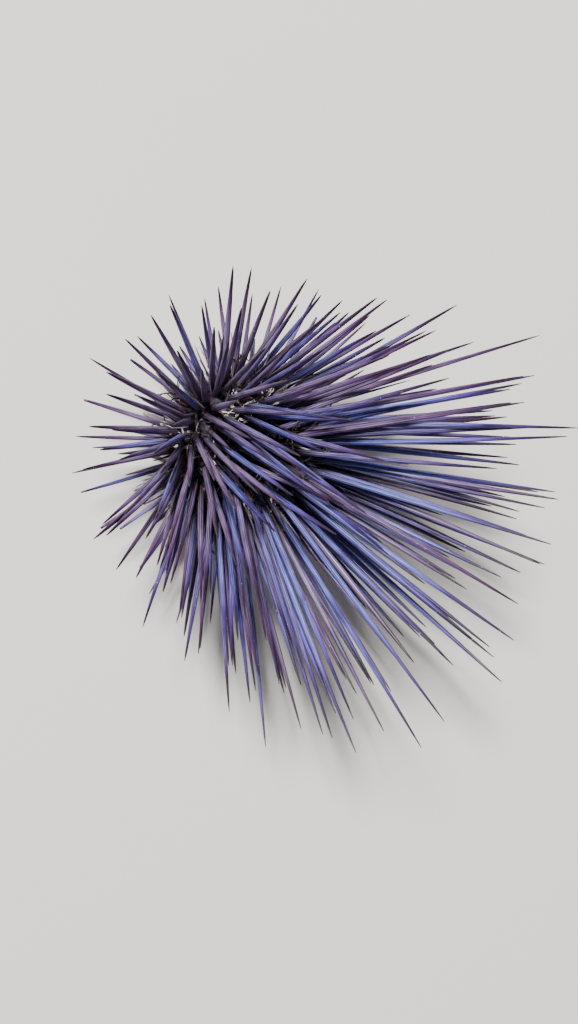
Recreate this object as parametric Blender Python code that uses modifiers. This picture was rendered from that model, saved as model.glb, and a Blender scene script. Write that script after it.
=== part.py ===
"""A needle-spined burrowing sea urchin, life size, as a still model that stands on its short under-spines.

The shell, called the test, is a low dome. Ten sectors run from the plates round the anus down to the
mouth: five interambulacra with five narrower ambulacra between them, and each sector carries its own
spines. The long crown spines fan out like a fountain that leans towards the open side of the burrow.
Metres, +Z up. The origin is the bottom centre of the whole animal's box.
"""

import math

import bmesh
import bpy
import numpy as np
from mathutils import Matrix, Vector

MM = 0.001

# The test: flat on top, widest a little above its middle, drawn in towards the mouth.
TEST_RADIUS = 15.0 * MM
CROWN_HEIGHT = 7.2 * MM
UNDER_HEIGHT = 10.8 * MM
CROWN_SQUARENESS = 2.6
UNDER_SQUARENESS = 2.2
RIM_CLEARANCE = 4.6 * MM
APICAL_RADIUS = 4.2 * MM
PERISTOME_RADIUS = 6.8 * MM
GAP = 0.3 * MM

# Sectors, in turn round the test.
SECTOR_PAIRS = 5
INTERAMBULACRUM_WIDTH = math.radians(40)
AMBULACRUM_WIDTH = math.radians(32)
FIRST_SECTOR_BEARING = math.radians(97)
SECTOR_STEPS = 5
OUTLINE_STEPS = 11

# Rows of spines across each sector, from the apical edge down to the mouth edge.
LONG_ROWS = 7
BRACE_ROWS = 2
FOOT_ROWS = 3
FIRST_ROW, LAST_ROW = 0.045, 0.955
SPINE_PITCH = 2.0 * MM
EDGE_MARGIN = 0.95 * MM
ROOT_DEPTH = 1.2 * MM

# Long crown spines: tilt from upright, length and radius, from the first row to the last.
LONG_TILT = (math.radians(39), math.radians(50))
LONG_LENGTH = (64 * MM, 42 * MM)
LONG_RADIUS = 0.68 * MM
# Brace spines stand out round the widest part of the test.
BRACE_TILT = (math.radians(72), math.radians(98))
BRACE_LENGTH = (25 * MM, 12 * MM)
BRACE_RADIUS = 0.55 * MM
# Foot spines reach down to the floor, splayed from straight down, outer row first.
FOOT_SPLAY = (math.radians(42), math.radians(14))
FOOT_RADIUS = 0.5 * MM
FOOT_END_RADIUS = 0.36 * MM

# The whole fan leans to the burrow's open side. Its flanks and its closed side are shorter and more upright, and
# at the back of the closed side the first rows are pressed over the crown, while the last rows stand out.
OPEN_BEARING = math.radians(90)
LEAN = math.radians(11)
FLANK_UPRIGHT = math.radians(10)
FLANK_SHORTER = 0.2
BACK_PRESSED = (math.radians(45), math.radians(-15))
TILT_SCATTER = math.radians(6)
FOOT_TILT_SCATTER = math.radians(2)
BEARING_SCATTER = math.radians(5)
SHORTFALL = 0.26
SHORTFALL_POWER = 1.5
SEED = 21

# The leaders, which end at the fan's edge in turn from one flank to the other: bearing and tilt from upright in
# degrees, and length in millimetres.
LEADERS = [
    (209, 30, 38), (187, 33, 43), (172, 41, 37), (167, 50, 42), (156, 42, 44), (155, 43, 56), (150, 36, 57),
    (145, 47, 50), (133, 40, 61), (111, 52, 56), (103, 54, 53), (95, 36, 62), (82, 53, 57), (60, 44, 64),
    (47, 47, 53), (33, 54, 49), (22, 49, 45), (7, 40, 40), (359, 44, 36), (332, 27, 35),
]

# A crown or brace spine keeps most of its width along the shaft, then runs out to a needle point.
SHAFT_SHARE = 0.55
SHOULDER_WIDTH = 0.8
SPINE_SIDES = 5
FOOT_SIDES = 6
SPINE_CLEARANCE = 0.35 * MM
# Spines that come too near each other turn apart about their roots, as if they met at least this far out.
LEAST_ARM = 4 * MM
TURN_MARGIN = 0.01 * MM
MOST_ROUNDS = 200

# Plates round the anus, the mouth's skin and the five teeth.
PERIPROCT_RADIUS = 1.4 * MM
PLATE_DEPTH = 1.6 * MM
PLATE_RISE = 0.35 * MM
CORE_RADIUS = 1.2 * MM
MOUTH_DEPTH = 2.0 * MM
MOUTH_DOME = 0.7 * MM
LIP_RADIUS = 2.6 * MM
ROUND_STEPS = 30
TOOTH_COUNT = 5
TOOTH_WIDTH, TOOTH_THICKNESS, TOOTH_LENGTH = 0.8 * MM, 0.7 * MM, 1.9 * MM
TOOTH_RING_RADIUS = 0.6 * MM
TOOTH_TIP_WIDTH, TOOTH_TIP_THICKNESS, TOOTH_TIP_INWARD = 0.36 * MM, 0.38 * MM, 0.1 * MM

# Colour, roughness and metallic value of each finish.
FINISHES = {
    "spined_shell": ((0.13, 0.12, 0.21), 0.45, 0.0),
    "apical_plate": ((0.05, 0.03, 0.06), 0.5, 0.0),
    "mouth_skin": ((0.09, 0.04, 0.05), 0.6, 0.0),
    "tooth": ((0.8, 0.77, 0.7), 0.3, 0.0),
}


def clear_scene():
    for obj in list(bpy.data.objects):
        bpy.data.objects.remove(obj)


def new_collection(name):
    made = bpy.data.collections.new(name)
    bpy.context.scene.collection.children.link(made)
    return made


def finish_of(name):
    if name in bpy.data.materials:
        return bpy.data.materials[name]
    colour, roughness, metallic = FINISHES[name]
    made = bpy.data.materials.new(name)
    made.use_nodes = True
    shader = made.node_tree.nodes["Principled BSDF"]
    shader.inputs["Base Color"].default_value = (*colour, 1)
    shader.inputs["Roughness"].default_value = roughness
    shader.inputs["Metallic"].default_value = metallic
    return made


def mix(pair, share):
    return pair[0] + (pair[1] - pair[0]) * share


def test_outline():
    """Radii and heights of the test's side, from its apical edge down to its mouth edge."""
    angles = np.linspace(0, math.pi / 2, 400)
    crown_power, under_power = 2 / CROWN_SQUARENESS, 2 / UNDER_SQUARENESS
    crown_radii = TEST_RADIUS * np.cos(angles[::-1]) ** crown_power
    crown_heights = CROWN_HEIGHT * np.sin(angles[::-1]) ** crown_power
    under_radii = TEST_RADIUS * np.cos(angles) ** under_power
    under_heights = -UNDER_HEIGHT * np.sin(angles) ** under_power
    crown = crown_radii >= APICAL_RADIUS + GAP
    under = under_radii >= PERISTOME_RADIUS + GAP
    radii = np.concatenate([crown_radii[crown], under_radii[under][1:]])
    heights = np.concatenate([crown_heights[crown], under_heights[under][1:]])
    return radii, heights - heights.min() + RIM_CLEARANCE


OUTLINE_RADII, OUTLINE_HEIGHTS = test_outline()
OUTLINE_RUN = np.concatenate(
    [[0], np.cumsum(np.hypot(np.diff(OUTLINE_RADII), np.diff(OUTLINE_HEIGHTS)))]
)
TEST_TOP = OUTLINE_HEIGHTS.max()


def surface_at(share):
    """Radius and height of the test at a share of the way down its side."""
    run = share * OUTLINE_RUN[-1]
    return np.interp(run, OUTLINE_RUN, OUTLINE_RADII), np.interp(run, OUTLINE_RUN, OUTLINE_HEIGHTS)


def sectors():
    """Name, middle bearing and width of each of the ten sectors."""
    found = []
    for i in range(SECTOR_PAIRS):
        bearing = FIRST_SECTOR_BEARING + i * 2 * math.pi / SECTOR_PAIRS
        found.append((f"interambulacrum_{i + 1}", bearing, INTERAMBULACRUM_WIDTH))
        found.append((f"ambulacrum_{i + 1}", bearing + math.pi / SECTOR_PAIRS, AMBULACRUM_WIDTH))
    return found


def spine_rows():
    """Share down the side, kind and place within its kind, from 0 to 1, of each row of spines."""
    kinds = [("long", LONG_ROWS), ("brace", BRACE_ROWS), ("foot", FOOT_ROWS)]
    places = [(kind, i / (count - 1)) for kind, count in kinds for i in range(count)]
    last = len(places) - 1
    return [(mix((FIRST_ROW, LAST_ROW), i / last), *place) for i, place in enumerate(places)]


def offsets_across(radius, width, row):
    """Where a row's spines stand, from the sector's middle: as many as fit, and one fewer in every other row."""
    room = 2 * (radius * math.sin(width / 2) - EDGE_MARGIN)
    count = max(1, int(room / SPINE_PITCH) + 1)
    if count > 2 and row % 2:
        count -= 1
    return [0.0] if count == 1 else list(np.linspace(-room / 2, room / 2, count))


def direction(bearing, tilt):
    """A unit vector that leans from straight up by tilt, towards bearing."""
    flat = math.sin(tilt)
    return np.array([math.cos(bearing) * flat, math.sin(bearing) * flat, math.cos(tilt)])


def leaned(aim):
    """aim turned by the fan's lean towards the open side."""
    axis = np.cross([0, 0, 1], direction(OPEN_BEARING, math.pi / 2))
    return aim * math.cos(LEAN) + np.cross(axis, aim) * math.sin(LEAN) + axis * (axis @ aim) * (1 - math.cos(LEAN))


def long_spine(bearing, place, draw):
    openness = math.cos(bearing - OPEN_BEARING)
    flank = min(1 - openness, 1)
    upright = FLANK_UPRIGHT * flank + mix(BACK_PRESSED, place) * max(-openness, 0)
    tilt = mix(LONG_TILT, place) - upright + TILT_SCATTER * draw.uniform(-1, 1)
    length = mix(LONG_LENGTH, place) * (1 - FLANK_SHORTER * flank**2)
    length *= 1 - SHORTFALL * draw.uniform() ** SHORTFALL_POWER
    return leaned(direction(bearing + BEARING_SCATTER * draw.uniform(-1, 1), tilt)), length, LONG_RADIUS


def brace_spine(bearing, place, draw):
    tilt = mix(BRACE_TILT, place) + TILT_SCATTER * draw.uniform(-1, 1)
    aim = direction(bearing + BEARING_SCATTER * draw.uniform(-1, 1), tilt)
    return aim, mix(BRACE_LENGTH, place) * (1 - SHORTFALL * draw.uniform()), BRACE_RADIUS


def foot_spine(bearing, place, draw):
    tilt = math.pi - mix(FOOT_SPLAY, place) + FOOT_TILT_SCATTER * draw.uniform(-1, 1)
    aim = direction(bearing + BEARING_SCATTER * draw.uniform(-1, 1), tilt)
    return aim, 0.0, FOOT_RADIUS


def lay_spines():
    """Every spine: its sector, kind, root on the test, aim, length and root radius."""
    make = {"long": long_spine, "brace": brace_spine, "foot": foot_spine}
    draw = np.random.RandomState(SEED)
    spines = []
    for sector, middle, width in sectors():
        for row, (share, kind, place) in enumerate(spine_rows()):
            radius, height = surface_at(share)
            for offset in offsets_across(radius, width, row):
                bearing = middle + offset / radius
                aim, length, thickness = make[kind](bearing, place, draw)
                spines.append({
                    "sector": sector,
                    "kind": kind,
                    "root": direction(bearing, math.pi / 2) * radius + np.array([0, 0, height]),
                    "aim": aim,
                    "length": length,
                    "radius": thickness,
                })
    return spines


def set_leaders(spines):
    """Gives each leader's aim and length to the free long spine that points nearest to it."""
    free = [spine for spine in spines if spine["kind"] == "long"]
    for bearing, tilt, length in LEADERS:
        aim = direction(math.radians(bearing), math.radians(tilt))
        nearest = max(free, key=lambda spine: spine["aim"] @ aim)
        nearest["aim"], nearest["length"] = aim, length * MM
        free = [spine for spine in free if spine is not nearest]


def width_along(share):
    """A needle's width at a share of its length, as a share of its root width."""
    shaft = 1 - (1 - SHOULDER_WIDTH) * share / SHAFT_SHARE
    point = SHOULDER_WIDTH * (1 - share) / (1 - SHAFT_SHARE)
    return np.where(share < SHAFT_SHARE, shaft, point)


def spread_apart(spines):
    """Turns spines that come too near each other apart, a little at a time, and lets the feet down to the floor."""
    roots = np.array([s["root"] for s in spines])
    aims = np.array([s["aim"] for s in spines])
    lengths = np.array([s["length"] for s in spines])
    radii = np.array([s["radius"] for s in spines])
    foot = np.array([s["kind"] == "foot" for s in spines])
    one, two = np.triu_indices(len(spines), 1)
    for _ in range(MOST_ROUNDS):
        lengths[foot] = roots[foot, 2] / -aims[foot, 2]
        run_one, run_two = (aims * lengths[:, None])[[one, two]]
        between = roots[one] - roots[two]
        aa, bb, ab = (run_one**2).sum(1), (run_two**2).sum(1), (run_one * run_two).sum(1)
        ac, bc = (run_one * between).sum(1), (run_two * between).sum(1)
        at_one = np.clip((ab * bc - ac * bb) / np.maximum(aa * bb - ab * ab, 1e-18), 0, 1)
        at_two = np.clip((ab * at_one + bc) / bb, 0, 1)
        at_one = np.clip((ab * at_two - ac) / aa, 0, 1)
        apart = between + run_one * at_one[:, None] - run_two * at_two[:, None]
        distance = np.linalg.norm(apart, axis=1)
        wide_one = radii[one] * np.where(foot[one], 1, width_along(at_one))
        wide_two = radii[two] * np.where(foot[two], 1, width_along(at_two))
        short = wide_one + wide_two + SPINE_CLEARANCE - distance
        near = np.flatnonzero(short > 0)
        if not len(near):
            break
        push = apart[near] / distance[near, None] * (short[near, None] / 2 + TURN_MARGIN)
        arm_one = np.maximum(at_one * lengths[one], LEAST_ARM)[near, None]
        arm_two = np.maximum(at_two * lengths[two], LEAST_ARM)[near, None]
        np.add.at(aims, one[near], push / arm_one)
        np.add.at(aims, two[near], -push / arm_two)
        aims /= np.linalg.norm(aims, axis=1)[:, None]
    for spine, aim, length in zip(spines, aims, lengths):
        spine["aim"], spine["length"] = aim, length


def axis_place(spines):
    """Where the test's axis stands, so that the whole animal's box is centred on the origin."""
    tips = np.array([s["root"] + s["aim"] * s["length"] for s in spines])
    middle = (tips.max(0) + tips.min(0)) / 2
    return Vector((-middle[0], -middle[1], 0))


def fill_cut(bm, point, normal):
    """Cuts away what lies beyond the plane and closes the cut."""
    parts = [*bm.verts, *bm.edges, *bm.faces]
    cut = bmesh.ops.bisect_plane(bm, geom=parts, plane_co=point, plane_no=normal, clear_outer=True)
    edges = [e for e in cut["geom_cut"] if isinstance(e, bmesh.types.BMEdge)]
    bmesh.ops.edgenet_fill(bm, edges=edges)


def turned_slice(section, middle, width, steps):
    """A closed slice of a turned form. section is a ring of (radius, height) corners."""
    bm = bmesh.new()
    corners = [bm.verts.new((radius, 0, height)) for radius, height in section]
    start = bm.faces.new(corners)
    bmesh.ops.rotate(bm, verts=corners, matrix=Matrix.Rotation(middle - width / 2, 3, "Z"))
    sweep = {"cent": (0, 0, 0), "axis": (0, 0, 1), "angle": width, "steps": steps}
    bmesh.ops.spin(bm, geom=[start, *start.edges, *corners], **sweep)
    bmesh.ops.recalc_face_normals(bm, faces=bm.faces)
    for side in (-1, 1):
        edge = middle + side * width / 2
        beyond = Vector((-math.sin(edge), math.cos(edge), 0)) * side
        fill_cut(bm, -beyond * GAP / 2, beyond)
    bmesh.ops.recalc_face_normals(bm, faces=bm.faces)
    return bm


def sector_section():
    """The cut through a sector of the test: its side, then the steps round the apical plates and the mouth."""
    shares = np.linspace(0, 1, OUTLINE_STEPS + 1)
    side = [surface_at(share) for share in shares]
    core = CORE_RADIUS + GAP
    under_plates = TEST_TOP - PLATE_DEPTH - GAP
    over_mouth = RIM_CLEARANCE + MOUTH_DEPTH + GAP
    return [
        *side,
        (side[-1][0], over_mouth),
        (core, over_mouth),
        (core, under_plates),
        (side[0][0], under_plates),
    ]


def aim_matrix(root, aim):
    return Matrix.Translation(Vector(root)) @ Vector(aim).to_track_quat("Z", "Y").to_matrix().to_4x4()


def needle(spine):
    """A tapered shaft with a needle point, its root sunk below the surface."""
    length, radius = spine["length"], spine["radius"]
    shaft = length * SHAFT_SHARE + ROOT_DEPTH
    shoulder = radius * SHOULDER_WIDTH
    bm = bmesh.new()
    place = aim_matrix(spine["root"] - spine["aim"] * ROOT_DEPTH, spine["aim"])
    middle = place @ Matrix.Translation((0, 0, shaft / 2))
    sizes = {"segments": SPINE_SIDES, "radius1": radius, "radius2": shoulder, "depth": shaft}
    bmesh.ops.create_cone(bm, cap_ends=True, cap_tris=False, matrix=middle, **sizes)
    end = max(bm.faces, key=lambda f: f.calc_center_median().dot(Vector(spine["aim"])))
    tip = Vector(spine["root"] + spine["aim"] * length)
    poked = bmesh.ops.poke(bm, faces=[end])["verts"][0]
    poked.co = tip
    return bm


def foot(spine):
    """A short, blunt spine, cut off level where it stands on the floor."""
    over = spine["length"] + 2 * spine["radius"]
    bm = bmesh.new()
    place = aim_matrix(spine["root"] - spine["aim"] * ROOT_DEPTH, spine["aim"])
    depth = over + ROOT_DEPTH
    middle = place @ Matrix.Translation((0, 0, depth / 2))
    sizes = {"segments": FOOT_SIDES, "radius1": spine["radius"], "radius2": FOOT_END_RADIUS, "depth": depth}
    bmesh.ops.create_cone(bm, cap_ends=True, cap_tris=False, matrix=middle, **sizes)
    fill_cut(bm, (0, 0, 0), (0, 0, -1))
    bmesh.ops.recalc_face_normals(bm, faces=bm.faces)
    return bm


def add_object(name, bm, collection, place, finish=None):
    mesh = bpy.data.meshes.new(name)
    bm.to_mesh(mesh)
    bm.free()
    obj = bpy.data.objects.new(name, mesh)
    obj.location = place
    collection.objects.link(obj)
    if finish:
        mesh.materials.append(finish_of(finish))
    return obj


def join_all(obj, pieces):
    """Fuses every object of the collection pieces with obj, then removes them."""
    union = obj.modifiers.new("join", "BOOLEAN")
    union.operation = "UNION"
    union.operand_type = "COLLECTION"
    union.collection = pieces
    union.solver = "EXACT"
    bpy.context.view_layer.update()
    graph = bpy.context.evaluated_depsgraph_get()
    joined = bpy.data.meshes.new_from_object(obj.evaluated_get(graph))
    obj.modifiers.clear()
    obj.data = joined
    for piece in list(pieces.objects):
        bpy.data.objects.remove(piece)


def keep_largest(obj):
    """Leaves only the largest closed surface of the mesh."""
    bm = bmesh.new()
    bm.from_mesh(obj.data)
    left, shells = set(bm.verts), []
    while left:
        grown = [left.pop()]
        for vert in grown:
            near = {edge.other_vert(vert) for edge in vert.link_edges} & left
            left -= near
            grown.extend(near)
        shells.append(grown)
    shells.sort(key=len)
    bmesh.ops.delete(bm, geom=[vert for shell in shells[:-1] for vert in shell], context="VERTS")
    bmesh.ops.triangulate(bm, faces=bm.faces)
    bm.to_mesh(obj.data)
    bm.free()


def add_sectors(spines, animal, joiners, place):
    """The ten sectors of the test, each fused with its own spines."""
    section = sector_section()
    for name, middle, width in sectors():
        shell = add_object(name, turned_slice(section, middle, width, SECTOR_STEPS), animal, place, "spined_shell")
        for spine in spines:
            if spine["sector"] == name:
                make = foot if spine["kind"] == "foot" else needle
                add_object("spine", make(spine), joiners, place)
        join_all(shell, joiners)
        keep_largest(shell)


def add_apical_plates(animal, place):
    """Five genital plates round the anus, in line with the interambulacra, each a little raised in its middle."""
    inner, outer = PERIPROCT_RADIUS + GAP, APICAL_RADIUS
    low = TEST_TOP - PLATE_DEPTH
    section = [
        (inner, TEST_TOP),
        (mix((inner, outer), 0.3), TEST_TOP + PLATE_RISE),
        (mix((inner, outer), 0.7), TEST_TOP + PLATE_RISE),
        (outer, TEST_TOP),
        (outer, low),
        (inner, low),
    ]
    width = 2 * math.pi / SECTOR_PAIRS
    for i in range(SECTOR_PAIRS):
        middle = FIRST_SECTOR_BEARING + i * width
        plate = turned_slice(section, middle, width, SECTOR_STEPS)
        add_object(f"genital_plate_{i + 1}", plate, animal, place, "apical_plate")


def add_turned(name, profile, animal, place, finish):
    """A round solid turned from a profile that runs from its top down its outer side."""
    bm = bmesh.new()
    verts = [bm.verts.new((radius, 0, height)) for radius, height in profile]
    for above, below in zip(verts, verts[1:]):
        bm.edges.new((above, below))
    obj = add_object(name, bm, animal, place, finish)
    screw = obj.modifiers.new("turn", "SCREW")
    screw.steps = screw.render_steps = ROUND_STEPS
    screw.use_merge_vertices = True
    screw.merge_threshold = 0.00001
    return obj


def add_periproct(animal, place):
    """The low cone round the anus."""
    low = TEST_TOP - PLATE_DEPTH
    profile = [
        (0, TEST_TOP + 2.2 * PLATE_RISE),
        (0.35 * PERIPROCT_RADIUS, TEST_TOP + 2 * PLATE_RISE),
        (PERIPROCT_RADIUS, TEST_TOP),
        (PERIPROCT_RADIUS, low),
        (0, low),
    ]
    add_turned("periproct", profile, animal, place, "apical_plate")


def add_peristome(animal, place):
    """The skin round the mouth, domed down to thick lips, with the core that the sectors meet."""
    top = RIM_CLEARANCE + MOUTH_DEPTH
    profile = [
        (0, TEST_TOP - PLATE_DEPTH - GAP),
        (CORE_RADIUS, TEST_TOP - PLATE_DEPTH - GAP),
        (CORE_RADIUS, top),
        (PERISTOME_RADIUS, top),
        (PERISTOME_RADIUS, RIM_CLEARANCE + 0.2 * MOUTH_DEPTH),
        (mix((LIP_RADIUS, PERISTOME_RADIUS), 0.5), RIM_CLEARANCE - 0.5 * MOUTH_DOME),
        (LIP_RADIUS, RIM_CLEARANCE - MOUTH_DOME),
        (0.8 * LIP_RADIUS, RIM_CLEARANCE - 0.6 * MOUTH_DOME),
        (0.7 * LIP_RADIUS, RIM_CLEARANCE),
        (0, RIM_CLEARANCE),
    ]
    add_turned("peristome", profile, animal, place, "mouth_skin")


def add_teeth(animal, place):
    """Five chisel teeth in a ring, their tips drawn together below the mouth's skin."""
    top = RIM_CLEARANCE - GAP
    for i in range(TOOTH_COUNT):
        bearing = FIRST_SECTOR_BEARING + i * 2 * math.pi / TOOTH_COUNT
        bm = bmesh.new()
        bmesh.ops.create_cube(bm, size=1)
        for vert in bm.verts:
            root = vert.co.z > 0
            thickness = TOOTH_THICKNESS if root else TOOTH_TIP_THICKNESS
            inner = TOOTH_RING_RADIUS - (0 if root else TOOTH_TIP_INWARD)
            vert.co.x = inner + (vert.co.x + 0.5) * thickness
            vert.co.y *= TOOTH_WIDTH if root else TOOTH_TIP_WIDTH
            vert.co.z = top if root else top - TOOTH_LENGTH
        bmesh.ops.rotate(bm, verts=bm.verts, matrix=Matrix.Rotation(bearing, 3, "Z"))
        add_object(f"tooth_{i + 1}", bm, animal, place, "tooth")


def main():
    clear_scene()
    animal = new_collection("needle_spined_urchin")
    joiners = new_collection("spines_to_join")
    spines = lay_spines()
    set_leaders(spines)
    spread_apart(spines)
    place = axis_place(spines)
    add_sectors(spines, animal, joiners, place)
    add_apical_plates(animal, place)
    add_periproct(animal, place)
    add_peristome(animal, place)
    add_teeth(animal, place)


main()
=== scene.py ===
import functools
import math

import bmesh
import bpy
import numpy as np
from mathutils import Matrix, Vector


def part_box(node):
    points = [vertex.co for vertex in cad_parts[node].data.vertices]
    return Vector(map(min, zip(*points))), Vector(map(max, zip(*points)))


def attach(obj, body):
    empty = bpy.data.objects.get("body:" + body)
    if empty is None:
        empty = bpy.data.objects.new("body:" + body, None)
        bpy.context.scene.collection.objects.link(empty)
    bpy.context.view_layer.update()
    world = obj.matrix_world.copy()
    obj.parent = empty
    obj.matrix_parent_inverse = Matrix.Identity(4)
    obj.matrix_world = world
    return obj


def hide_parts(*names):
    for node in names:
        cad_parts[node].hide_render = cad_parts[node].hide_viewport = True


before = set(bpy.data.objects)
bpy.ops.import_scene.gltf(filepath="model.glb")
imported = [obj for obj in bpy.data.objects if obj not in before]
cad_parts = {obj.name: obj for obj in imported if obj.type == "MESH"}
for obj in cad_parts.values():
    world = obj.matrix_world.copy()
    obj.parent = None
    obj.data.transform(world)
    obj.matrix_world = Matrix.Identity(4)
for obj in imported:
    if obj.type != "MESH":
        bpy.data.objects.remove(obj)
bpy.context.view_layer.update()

# The test is the urchin's shell: a low dome of calcite plates that fit edge to edge, flat on top and drawn in
# to the mouth. Only its form is worked out here; the skin, the spines and the plates below stand on it.
MM = 0.001
TEST_RADIUS = 15.0 * MM
CROWN_HEIGHT = 7.2 * MM
UNDER_HEIGHT = 10.8 * MM
CROWN_SQUARENESS = 2.6
UNDER_SQUARENESS = 2.2
OUTLINE_STEPS = 400
RIM_CLEARANCE = 4.6 * MM
APICAL_RADIUS = 4.2 * MM
PERISTOME_RADIUS = 6.8 * MM
SUTURE_ROOM = 0.3 * MM
SECTOR_PAIRS = 5
INTERAMBULACRUM_WIDTH = math.radians(40)
AMBULACRUM_WIDTH = math.radians(32)
FIRST_SECTOR_BEARING = math.radians(97)
FACING_STEP = 0.01
UP = np.array([0.0, 0.0, 1.0])

low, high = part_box("periproct")
TEST_AXIS = np.array([(low.x + high.x) / 2, (low.y + high.y) / 2, 0.0])


def mix(pair, share):
    return pair[0] + (pair[1] - pair[0]) * share


def unit(ways):
    """The same directions with a length of one."""
    return ways / np.linalg.norm(ways, axis=-1, keepdims=True)


def direction(bearing, tilt=math.pi / 2):
    """A direction that leans from straight up by tilt, towards bearing. Without a tilt it is level."""
    flat = math.sin(tilt)
    return np.array([math.cos(bearing) * flat, math.sin(bearing) * flat, math.cos(tilt)])


def half_outline(rise, squareness, opening):
    """Radii and heights of the test's side, from its widest part to the edge of an opening."""
    angles = np.linspace(0, math.pi / 2, OUTLINE_STEPS)
    radii = TEST_RADIUS * np.cos(angles) ** (2 / squareness)
    heights = rise * np.sin(angles) ** (2 / squareness)
    return np.stack([radii, heights])[:, radii >= opening + SUTURE_ROOM]


upper_side = half_outline(CROWN_HEIGHT, CROWN_SQUARENESS, APICAL_RADIUS)
under_side = half_outline(-UNDER_HEIGHT, UNDER_SQUARENESS, PERISTOME_RADIUS)
OUTLINE_RADII, OUTLINE_HEIGHTS = np.concatenate([upper_side[:, ::-1], under_side[:, 1:]], 1)
OUTLINE_HEIGHTS += RIM_CLEARANCE - OUTLINE_HEIGHTS.min()
OUTLINE_RUN = np.cumsum([0, *np.hypot(np.diff(OUTLINE_RADII), np.diff(OUTLINE_HEIGHTS))])
TEST_TOP = OUTLINE_HEIGHTS.max()


def surface_at(share):
    """Radius and height of the test at a share of the way down its side."""
    run = share * OUTLINE_RUN[-1]
    return np.interp(run, OUTLINE_RUN, OUTLINE_RADII), np.interp(run, OUTLINE_RUN, OUTLINE_HEIGHTS)


def on_test(bearing, share):
    """A point on the test's surface, with the test's axis at the origin."""
    radius, height = surface_at(share)
    return direction(bearing) * radius + UP * height


def outward_at(bearing, share):
    """The way that the test's surface faces there."""
    inner, upper = surface_at(max(share - FACING_STEP, 0))
    outer, lower = surface_at(min(share + FACING_STEP, 1))
    return unit(direction(bearing) * (upper - lower) + UP * (outer - inner))


def pair_bearing(place):
    """The middle of a pair's interambulacrum at a whole place, and of its ambulacrum half a place on."""
    return FIRST_SECTOR_BEARING + place * math.tau / SECTOR_PAIRS


def sectors():
    """Name, middle bearing and width of each of the ten sectors."""
    kinds = [("interambulacrum", 0, INTERAMBULACRUM_WIDTH), ("ambulacrum", 0.5, AMBULACRUM_WIDTH)]
    pairs = [(i, kind) for i in range(SECTOR_PAIRS) for kind in kinds]
    return [(f"{name}_{i + 1}", pair_bearing(i + later), width) for i, (name, later, width) in pairs]


# The primary spines' places. Each spine stands on a boss of the test, in rows across every sector: long ones
# on the crown, shorter ones that brace the animal in its burrow round the side, and foot spines under it.
LONG_ROWS = 7
BRACE_ROWS = 2
FOOT_ROWS = 3
FIRST_ROW, LAST_ROW = 0.045, 0.955
SPINE_PITCH = 2.0 * MM
EDGE_MARGIN = 0.95 * MM
LONG_TILT = (math.radians(39), math.radians(50))
LONG_LENGTH = (64 * MM, 42 * MM)
LONG_RADIUS = 0.68 * MM
BRACE_TILT = (math.radians(72), math.radians(98))
BRACE_LENGTH = (25 * MM, 12 * MM)
BRACE_RADIUS = 0.55 * MM
FOOT_SPLAY = (math.radians(42), math.radians(14))
FOOT_RADIUS = 0.5 * MM
OPEN_BEARING = math.radians(90)
LEAN = math.radians(11)
FLANK_UPRIGHT = math.radians(10)
FLANK_SHORTER = 0.2
BACK_PRESSED = (math.radians(45), math.radians(-15))
TILT_SCATTER = math.radians(6)
FOOT_TILT_SCATTER = math.radians(2)
BEARING_SCATTER = math.radians(5)
SHORTFALL = 0.26
SHORTFALL_POWER = 1.5
SEED = 21
SHAFT_SHARE = 0.55
SHOULDER_WIDTH = 0.8
SPINE_CLEARANCE = 0.35 * MM
LEAST_ARM = 4 * MM
TURN_MARGIN = 0.01 * MM
MOST_ROUNDS = 200
LEAST_SQUARE = 1e-18
# The leaders end at the fan's edge, in turn from one flank to the other: bearing and tilt from upright in
# degrees, and length in millimetres.
LEADERS = [
    (209, 30, 38), (187, 33, 43), (172, 41, 37), (167, 50, 42), (156, 42, 44), (155, 43, 56), (150, 36, 57),
    (145, 47, 50), (133, 40, 61), (111, 52, 56), (103, 54, 53), (95, 36, 62), (82, 53, 57), (60, 44, 64),
    (47, 47, 53), (33, 54, 49), (22, 49, 45), (7, 40, 40), (359, 44, 36), (332, 27, 35),
]


def spine_rows():
    """Share down the side, kind and place within its kind, from 0 to 1, of each row of spines."""
    kinds = [("long", LONG_ROWS), ("brace", BRACE_ROWS), ("foot", FOOT_ROWS)]
    places = [(kind, i / (count - 1)) for kind, count in kinds for i in range(count)]
    return [(mix((FIRST_ROW, LAST_ROW), i / (len(places) - 1)), *place) for i, place in enumerate(places)]


def offsets_across(radius, width, row):
    """Where a row's spines stand, from the sector's middle. Every other row has one fewer than would fit."""
    room = 2 * (radius * math.sin(width / 2) - EDGE_MARGIN)
    count = max(1, int(room / SPINE_PITCH) + 1)
    if count > 2 and row % 2:
        count -= 1
    return [0.0] if count == 1 else list(np.linspace(-room / 2, room / 2, count))


def leaned(aim):
    """aim turned by the fan's lean towards the burrow's open side."""
    axis = np.cross(UP, direction(OPEN_BEARING))
    turned = aim * math.cos(LEAN) + np.cross(axis, aim) * math.sin(LEAN)
    return turned + axis * (axis @ aim) * (1 - math.cos(LEAN))


def long_spine(bearing, place, draw):
    openness = math.cos(bearing - OPEN_BEARING)
    flank = min(1 - openness, 1)
    upright = FLANK_UPRIGHT * flank + mix(BACK_PRESSED, place) * max(-openness, 0)
    tilt = mix(LONG_TILT, place) - upright + TILT_SCATTER * draw.uniform(-1, 1)
    length = mix(LONG_LENGTH, place) * (1 - FLANK_SHORTER * flank**2)
    length *= 1 - SHORTFALL * draw.uniform() ** SHORTFALL_POWER
    return leaned(direction(bearing + BEARING_SCATTER * draw.uniform(-1, 1), tilt)), length, LONG_RADIUS


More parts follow.
